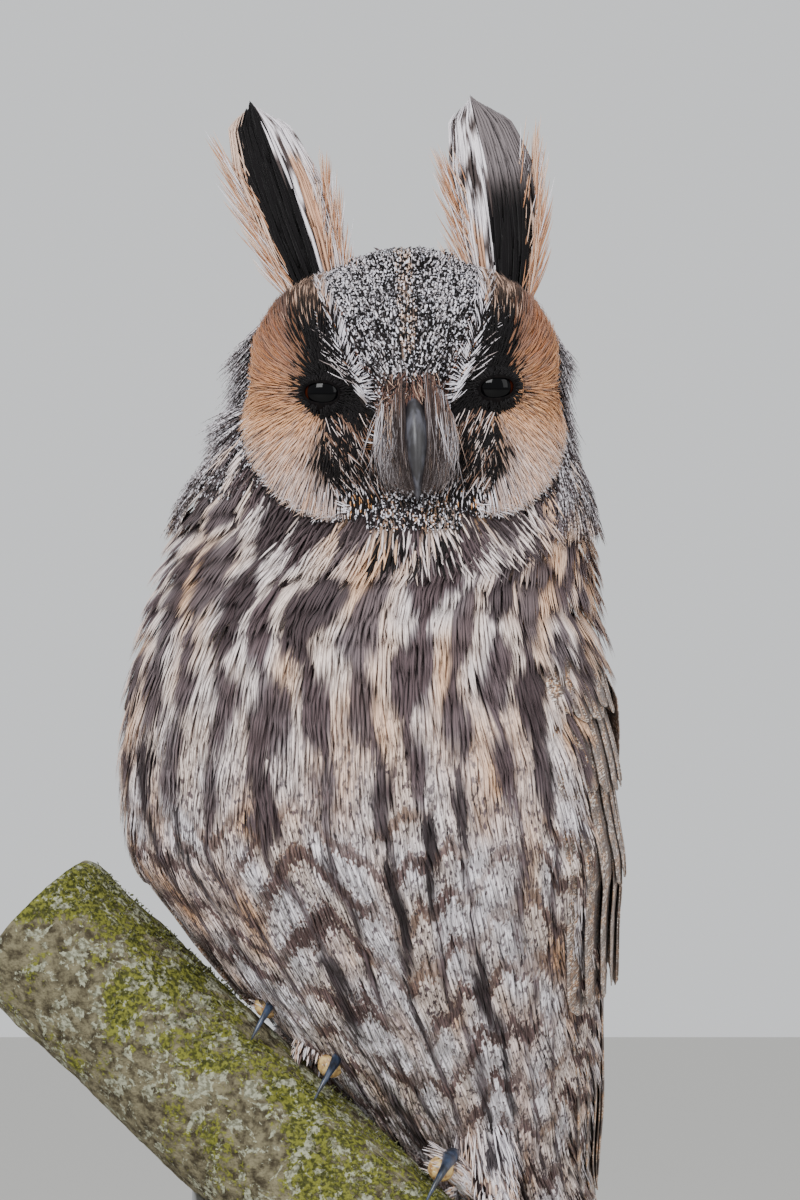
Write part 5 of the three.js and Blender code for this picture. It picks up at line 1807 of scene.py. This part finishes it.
# %% The bill
def smooth_line(points, steps):
    """A smooth row of stations through a few given ones, by cubic steps."""
    points = np.asarray(points, float)
    t = np.linspace(0, len(points) - 1, steps)
    i = np.clip(t.astype(int), 0, len(points) - 2)
    s = (t - i)[:, None]
    tangent = np.gradient(points, axis=0)
    ends = points[i] * (2 * s**3 - 3 * s**2 + 1) + tangent[i] * (s**3 - 2 * s**2 + s)
    return ends + points[i + 1] * (3 * s**2 - 2 * s**3) + tangent[i + 1] * (s**3 - s**2)


def hooked(stations, steps=26, sides=28, ridge=0.0):
    """Rings along stations of x, y, z, half width, half thickness in the head's frame."""
    rows = smooth_line(stations, steps)
    centre = on_head(*rows[:, :3].T)
    ahead = unit(np.gradient(centre, axis=0))
    across = unit(np.cross(np.array([0, -1.0, 0.2]), ahead))
    over = np.cross(ahead, across)
    turn = full_turn(sides)
    keel = 1 + ridge * np.maximum(np.sin(turn), 0) ** 6
    return (centre[:, None] + across[:, None] * (rows[:, 3, None] * np.cos(turn))[..., None]
            + over[:, None] * (rows[:, 4, None] * np.sin(turn) * keel)[..., None])


# x, y, z, half width and half thickness from the bill's root to its tip
UPPER_BILL = [(0.8, -34, -3, 4.4, 4.6), (0.9, -42, -6.5, 4.1, 4.6), (0.9, -46.3, -12.5, 3.5, 3.7),
              (0.9, -48.0, -19.5, 2.4, 2.6), (0.8, -47.3, -25.8, 1.2, 1.4),
              (0.8, -46.2, -29.2, 0.3, 0.35)]
LOWER_BILL = [(0.7, -34, -13, 3.5, 2.1), (0.7, -40, -18, 3.1, 1.8), (0.7, -43.5, -22.5, 2.3, 1.4),
              (0.7, -45, -25, 1.1, 0.7)]


def horn_material(name, dark, light, roughness):
    material, tree, shader = new_material(name, roughness, Coat_Weight=0.12, Coat_Roughness=0.3)
    spot = own_place(tree)
    grain = noise(tree, stretched(tree, spot, (1, 1, 0.25)), 700.0, 4.0)
    tone = times(tree, grain, noise(tree, spot, 160.0, 2.0))
    colour = blend(tree, ramp(tree, tone, 0.16, 0.36), dark, light)
    surface(tree, shader, colour, grain, 0.3, 0.0003)
    return material


BILL_HORN = horn_material("bill horn", srgb(26, 24, 27), srgb(66, 66, 74), 0.5)
CLAW_HORN = horn_material("claw horn", srgb(20, 24, 32), srgb(54, 66, 88), 0.3)
upper_bill = closed_from_rings("bill_horn_upper", [hooked(UPPER_BILL, ridge=0.22)])
lower_bill = closed_from_rings("bill_horn_lower", [hooked(LOWER_BILL, 14, 20)])


# %% Claws and the pads at their roots
def beyond_toe(foot, toe, forward, turned, off):
    """Goes on from the end of a toe: forward along the branch, round it, and off its bark."""
    x, side = FEET[foot]
    along, turn = TOES[toe][1]
    way = 1 if toe < 2 else -1
    return over_branch(x, side * along + (way > 0) * forward, turn + way * turned, off)


def claw_rings(foot, toe, steps=20, sides=18):
    t = np.linspace(0, 1, steps)
    off = mix(8.6, 1.0, t) + 2 * np.sin(math.pi * t)
    thick = mix(2.5, 0.3, t**0.9)
    return tube(beyond_toe(foot, toe, 6 * t, 33 * t - 2 * (t == 0), off),
                np.stack([0.82 * thick, thick], 1), sides)


def pad_rings(foot, toe, steps=12, sides=20):
    """The bare pad round the root of a claw, a short blunt cap on the toe's end."""
    t = np.linspace(0, 1, steps)
    swell = np.sqrt(np.clip(1 - (2 * t - 1) ** 2, 0.02, 1)) ** 0.8
    return tube(beyond_toe(foot, toe, 1.4 * t, -5 + 14 * t, 5.0 - 0.9 * t),
                np.stack([3.7 * swell, 3.6 * swell], 1), sides)


PAD_SKIN = noisy_material("toe pads", srgb(150, 112, 72), srgb(214, 184, 122), 620, 0.6, 0.6)
pads = closed_from_rings("toe_pads", [pad_rings(foot, toe) for foot in FEET for toe in range(4)])
claws = {}
for foot in FEET:
    for toe, label in enumerate(("outer_front", "inner_front", "outer_back", "inner_back")):
        name = foot + "_" + label
        claws[name] = closed_from_rings("talon_" + name, [claw_rings(foot, toe)])
for material, pieces in ((PAD_SKIN, [pads]), (BILL_HORN, [upper_bill, lower_bill]),
                         (CLAW_HORN, claws.values())):
    for piece in pieces:
        piece.data.materials.append(material)
        face_out(piece)
print("bill", triangles_in(upper_bill) + triangles_in(lower_bill), "triangles, claws",
      sum(triangles_in(piece) for piece in claws.values()), "triangles")

# %% [markdown]
# ## Legs and toes
# The legs are hidden in the belly, and the toes are feathered down to the claws with short buff
# down. Each bit of down is the same small tuft as on the nape, set along the toes and legs.

# %% Down on legs and toes
def spun(ahead, across, turn):
    """Directions round a line, at the given turns."""
    turn = turn[:, None]
    return unit(across * np.cos(turn) + np.cross(across, ahead) * np.sin(turn))


def limb_down(name, foot, on_toe=300, on_leg=800):
    points, ways, outs = [], [], []
    x = FEET[foot][0]
    for toe in range(4):
        t, turn = draw.uniform(-0.25, 0.98, on_toe), draw.uniform(0, 2 * math.pi, on_toe)
        line = toe_line(foot, toe, t)
        ahead = unit(toe_line(foot, toe, t + 0.05) - toe_line(foot, toe, t - 0.05))
        across = np.cross(ahead, unit(line - over_branch(x, 0, 0, -BRANCH_RADIUS)))
        out = spun(ahead, across, turn)
        points.append(line + out * 2.8)
        ways.append(ahead + 0.1 * out)
        outs.append(out)
    t, turn = draw.uniform(-0.3, 0.85, on_leg), draw.uniform(0, 2 * math.pi, on_leg)
    ahead = np.tile(unit(leg_line(foot, 0.0) - leg_line(foot, 1.0)), (on_leg, 1))
    out = spun(ahead, unit(np.cross(ahead, [0, 1.0, 0])), turn)
    points.append(leg_line(foot, t) + out * mix(5.4, 10.6, t)[:, None])
    ways.append(ahead + 0.2 * out)
    outs.append(out)
    points, ways, outs = (np.concatenate(v) for v in (points, ways, outs))
    r = draw.uniform(0, 1, len(points))
    marks = pick([0.45, 0.25, 0.2, 0.1], [(0, 0.16, 0.4, 0), (0.1, 0.4, 0.1, 0), (0, 0.05, 0.8, 0),
                                          (0.6, 0.3, 0, 0.1)], r)
    high = smooth(points[:, 2] - over_branch(x, 0, 0, 12)[2], 0, 8)[:, None]
    marks = mix(marks, body_marks(angle_of(points) + 0.1 * r, points[:, 2]), high)
    long = draw.uniform(3.4, 5.6, len(points)) * (1 + 0.9 * high[:, 0])
    return small_tufts(name, points, ways, outs, long, 0.8, marks,
                       unwrap(points[:, 0], points[:, 2]), SMALL_COAT, TUFT, 0.16, 9)


down = {foot: limb_down("down_" + foot, foot) for foot in FEET}

# %% [markdown]
# ## The branch and the stand
# The branch is a cut length with rough bark, grey lichen and green moss on its upper side. Its
# relief is moved into the mesh, the lichen is colour, and the moss is small upright tufts. The
# stand is plain: a dark wooden base with eased edges and two steel rods.

# %% Branch
BRANCH_ENDS = (-99.6, 61.6)  # in x


def bark_height(x, turn):
    """Relief of the bark along and round the branch, in millimetres."""
    ridges = soft_noise(x / 9, turn * 4.2, 31) * 0.55 + soft_noise(x / 4, turn * 11, 32) * 0.3
    return ridges + 0.18 * soft_noise(x / 1.6, turn * 24, 33) - 0.35


def branch_piece(rows=230, sides=156):
    """The branch with its relief, and its cut ends eased."""
    x = np.linspace(*BRANCH_ENDS, rows)[:, None]
    turn = full_turn(sides)[None]
    from_end = np.minimum(np.arange(rows), np.arange(rows)[::-1])[:, None]
    off = bark_height(x, turn) - 1.1 * (1 - smooth(from_end, -1, 2.5))
    return closed_from_rings("branch_bark", [over_branch(x, 0, -np.degrees(turn), off)])


def moss_share(points):
    """How mossy the bark is at a point: most on top and towards the light."""
    x, y, z = np.moveaxis(points, -1, 0)
    away = unit(from_branch(points)[1])
    upward = away[..., 2] * 0.7 - away[..., 1] * 0.35
    cloud = soft_noise(x / 13 + 3, z / 13 + y / 13, 41)
    fine = soft_noise(x / 4, z / 4 + y / 5, 42)
    return smooth(upward + 0.55 * cloud + 0.25 * fine, 0.15, 0.75)


def bark_material():
    """Brown bark with green moss where the mesh says so, and crusts of grey lichen."""
    material, tree, shader = new_material("bark", 0.92, Specular_IOR_Level=0.15)
    spot = own_place(tree)
    grain = noise(tree, spot, 300.0, 7.0, Roughness=0.65)
    patch = noise(tree, spot, 62.0, 7.0, Roughness=0.72)
    crumbs = noise(tree, spot, 850.0, 3.0)
    crust = noise(tree, spot, 190.0, 6.0, Roughness=0.7, Distortion=0.5)
    colour = blend(tree, ramp(tree, grain, 0.35, 0.65), srgb(56, 50, 38), srgb(116, 110, 88))
    crumbly = plus(tree, patch, times(tree, crumbs, 0.55))
    share = plus(tree, crumbly, times(tree, attribute(tree, "moss")["Fac"], 0.22))
    green = blend(tree, ramp(tree, crumbs, 0.4, 0.62), srgb(50, 54, 19), srgb(112, 114, 46))
    colour = blend(tree, times(tree, ramp(tree, share, 0.85, 0.95), 0.9), colour, green)
    lichen = plus(tree, crust, times(tree, crumbs, 0.12))
    grey = blend(tree, ramp(tree, crumbs, 0.4, 0.6), srgb(102, 102, 86), srgb(154, 156, 136))
    colour = blend(tree, times(tree, ramp(tree, lichen, 0.6, 0.63), 0.9), colour, grey)
    surface(tree, shader, colour, plus(tree, grain, crumbs), 0.9, 0.0011)
    return material


branch = branch_piece()
face_out(branch)
branch.data.materials.append(bark_material())
put(branch.data, "moss", moss_share(points_of(branch)))
print("branch", triangles_in(branch), "triangles")

# %% Moss
def moss_material():
    material, tree, shader = new_material("moss", 0.85, 0.2)
    light = blend(tree, attribute(tree, "own")["Fac"], srgb(72, 76, 26), srgb(120, 122, 52))
    along = split_xyz(tree, attribute(tree, "lock")["Vector"])["Y"]
    feed(tree, shader.inputs["Base Color"], blend(tree, along, srgb(66, 70, 24), light))
    return material


def moss_tufts(count=9000):
    """Tufts that stand on the bark, more of them where it is mossy."""
    x = draw.uniform(-98, 60, count)
    turn = draw.uniform(-180, 180, count)
    points = over_branch(x, 0, turn, -0.3)
    keep = moss_share(points) > draw.uniform(0.1, 1.3, count)
    x, turn, points = x[keep], turn[keep], points[keep]
    out = unit(over_branch(x, 0, turn, 3) - points)
    way = out * 0.75 + draw.normal(0, 0.5, points.shape) + np.array([0, 0, 0.3])
    count = len(points)
    return small_tufts("moss_tufts", points, way, out, draw.uniform(0.7, 1.5, count),
                       draw.uniform(0.5, 0.9, count), np.zeros((count, 4)), unwrap(x, turn),
                       moss_material(), SPECK, 0.6, 5)


moss = moss_tufts()

# %% Stand
BASE_CORNER, BASE_HALF = 18.0, (95.0, 85.0)
BASE_EDGE = [(0.0, 1.2), (0.35, 0.35), (1.2, 0), (12.2, 0), (13.6, 0.35),
             (14.6, 1.3), (15, 2.8)]  # height, and how far the side is set in there


def base_piece(sides=96):
    turn = full_turn(sides)
    cx, cy = (np.where(v >= 0, 1, -1) * (half - BASE_CORNER)
              for v, half in zip((np.cos(turn), np.sin(turn)), BASE_HALF))
    rings = []
    for z, inset in BASE_EDGE:
        r = BASE_CORNER - inset
        rings.append(np.stack([cx + r * np.cos(turn), cy + r * np.sin(turn), np.full(sides, z)], 1))
    return closed_from_rings("base_board", [np.array(rings)])


def wood_material():
    material, tree, shader = new_material("oiled dark wood", 0.42, Coat_Weight=0.15, Coat_Roughness=0.35)
    long = stretched(tree, own_place(tree), (0.07, 1, 1))
    rings = noise(tree, long, 170.0, 4.0, Distortion=0.2)
    pores = noise(tree, long, 700.0, 3.0)
    tone = plus(tree, times(tree, rings, 0.7), times(tree, pores, 0.3))
    colour = blend(tree, ramp(tree, tone, 0.28, 0.72), srgb(52, 33, 21), srgb(112, 76, 49))
    surface(tree, shader, colour, pores, 0.2, 0.0003)
    return material


def rod_piece(name, x):
    """A rod with an eased foot, from the base up into the branch."""
    top = BRANCH_MIDDLE + BRANCH_LINE * (x / BRANCH_LINE[0])
    reach = top[2] - BRANCH_RADIUS / math.hypot(BRANCH_LINE[0], BRANCH_LINE[1]) + 4
    line = [(top[0], top[1], height) for height in (15.35, 15.6, 16.4, reach)]
    return closed_from_rings(name, [tube(np.array(line), [4.2, 4.45, 4.5, 4.5], 40)])


STEEL = noisy_material("brushed steel", srgb(150, 150, 150), srgb(190, 190, 190), 420, 0.34, 0.12,
                       stretch=(1, 1, 0.06), Metallic=1.0)
base = base_piece()
base.data.materials.append(wood_material())
rods = {"stand_rod_upper": rod_piece("rod_upper", -52), "stand_rod_lower": rod_piece("rod_lower", 26)}
for piece in rods.values():
    piece.data.materials.append(STEEL)
for piece in [base, *rods.values()]:
    face_out(piece)
    print(piece.name, triangles_in(piece), "triangles")

# %% [markdown]
# ## Studio
# A pale floor and a pale world, with a large soft light above the camera, as under an overcast sky.
# The camera stands level and far away, because the picture was taken with a long lens.

# %% Floor and sky
def make_floor(half=6):
    mesh = bpy.data.meshes.new("floor")
    corners = [(-half, -half, 0), (half, -half, 0), (half, half, 0), (-half, half, 0)]
    mesh.from_pydata(corners, [], [(0, 1, 2, 3)])
    mesh.materials.append(new_material("floor paint", 0.8, Base_Color=srgb(205, 203, 198))[0])
    into_scene("floor", mesh)


make_floor()
world = bpy.data.worlds.new("studio")
world.use_nodes = True
sky = world.node_tree.nodes["Background"].inputs
sky["Color"].default_value = srgb(226, 228, 230)
sky["Strength"].default_value = 1.1
bpy.context.scene.world = world


# %% Lights and camera
OWL_MIDDLE = (0, 0, 0.24)


def soft_light(name, place, size, power):
    """A large light that looks at the middle of the owl."""
    light = bpy.data.lights.new(name, "AREA")
    light.shape = "RECTANGLE"
    light.size, light.size_y = size
    light.energy = power
    lamp = into_scene(name, light)
    lamp.location = place
    lamp.rotation_euler = (Vector(OWL_MIDDLE) - Vector(place)).to_track_quat("-Z", "Y").to_euler()


soft_light("key light", (-0.75, -1.7, 1.4), (1.0, 0.8), 58)
soft_light("fill light", (1.5, -1.1, 0.9), (1.0, 1.2), 15)
soft_light("back light", (0.6, 1.5, 1.5), (1.2, 0.8), 22)

CAMERA_AWAY = 4.5
CAMERA_HEIGHT = 0.2764
PICTURE_HEIGHT, PIXELS_PER_MM = 1200, 3.7
camera_data = bpy.data.cameras.new("camera")
camera = into_scene("camera", camera_data)
camera_data.sensor_width = 36
camera_data.lens = camera_data.sensor_width * CAMERA_AWAY / (PICTURE_HEIGHT / PIXELS_PER_MM * MM)
camera_data.clip_start, camera_data.clip_end = 0.5, 30
camera.location = (0, HEAD_MIDDLE[1] * MM - CAMERA_AWAY, CAMERA_HEIGHT)
camera.rotation_euler = (math.pi / 2, 0, 0)
bpy.context.scene.camera = camera
print("lens", round(camera_data.lens), "mm")

# %% [markdown]
# ## Onto the frame
# The skin gets the same marks as the feathers on it, so that no gap shows another colour. Then
# every piece rides on the one body, and the solids that it stands for are hidden.

# %% Rides and replacements
spots = points_of(skin)
count = len(spots)
head_share = smooth(spots[:, 2], 300, 306)[:, None]
head_paint = head_marks(in_head(spots), draw.uniform(0, 1, (3, count)))
body_paint = body_marks(angle_of(spots), spots[:, 2])
skin.data.materials.append(BODY_COAT)
put(skin.data, "marks", mix(body_paint, head_paint, head_share))
put(skin.data, "lock", np.tile([0.0, 0.5, 0.0], (count, 1)))
put(skin.data, "own", np.full(count, 0.4))
DRESS = [  # piece, finish, solids that it stands for
    (skin, "plumage", ["head", "neck", "torso", "leg_right", "leg_left", "foot_right", "foot_left"]),
    (tail, "flight_feathers", ["tail"]),
    (upper_bill, "horn", ["bill_upper"]),
    (lower_bill, "horn", ["bill_lower"]),
    (branch, "bark", ["perch_branch"]),
    (moss, "bark", []),
    (pads, "lid_skin", []),
    (base, "base_wood", ["stand_base"]),
]
DRESS += [(piece, "plumage", []) for piece in coat_pieces + head_pieces + list(down.values())]
DRESS += [(piece, "plumage", ["ear_tuft_" + name]) for name, piece in tuft_pieces.items()]
DRESS += [(piece, "flight_feathers", ["wing_" + name]) for name, piece in wings.items()]
DRESS += [(piece, "eye", ["eye_" + name]) for name, piece in eyes.items()]
DRESS += [(piece, "lid_skin", ["lids_" + name]) for name, piece in lids.items()]
DRESS += [(piece, "horn", ["claw_" + name]) for name, piece in claws.items()]
DRESS += [(piece, "rod_metal", [name]) for name, piece in rods.items()]
for piece, finish, solids in DRESS:
    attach(piece, "root")
    if solids:
        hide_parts(*solids)
print(len(DRESS), "pieces ride on the root")

# %% Sizes and the end
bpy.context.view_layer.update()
print("triangles in all", sum(triangles_in(row[0]) for row in DRESS))
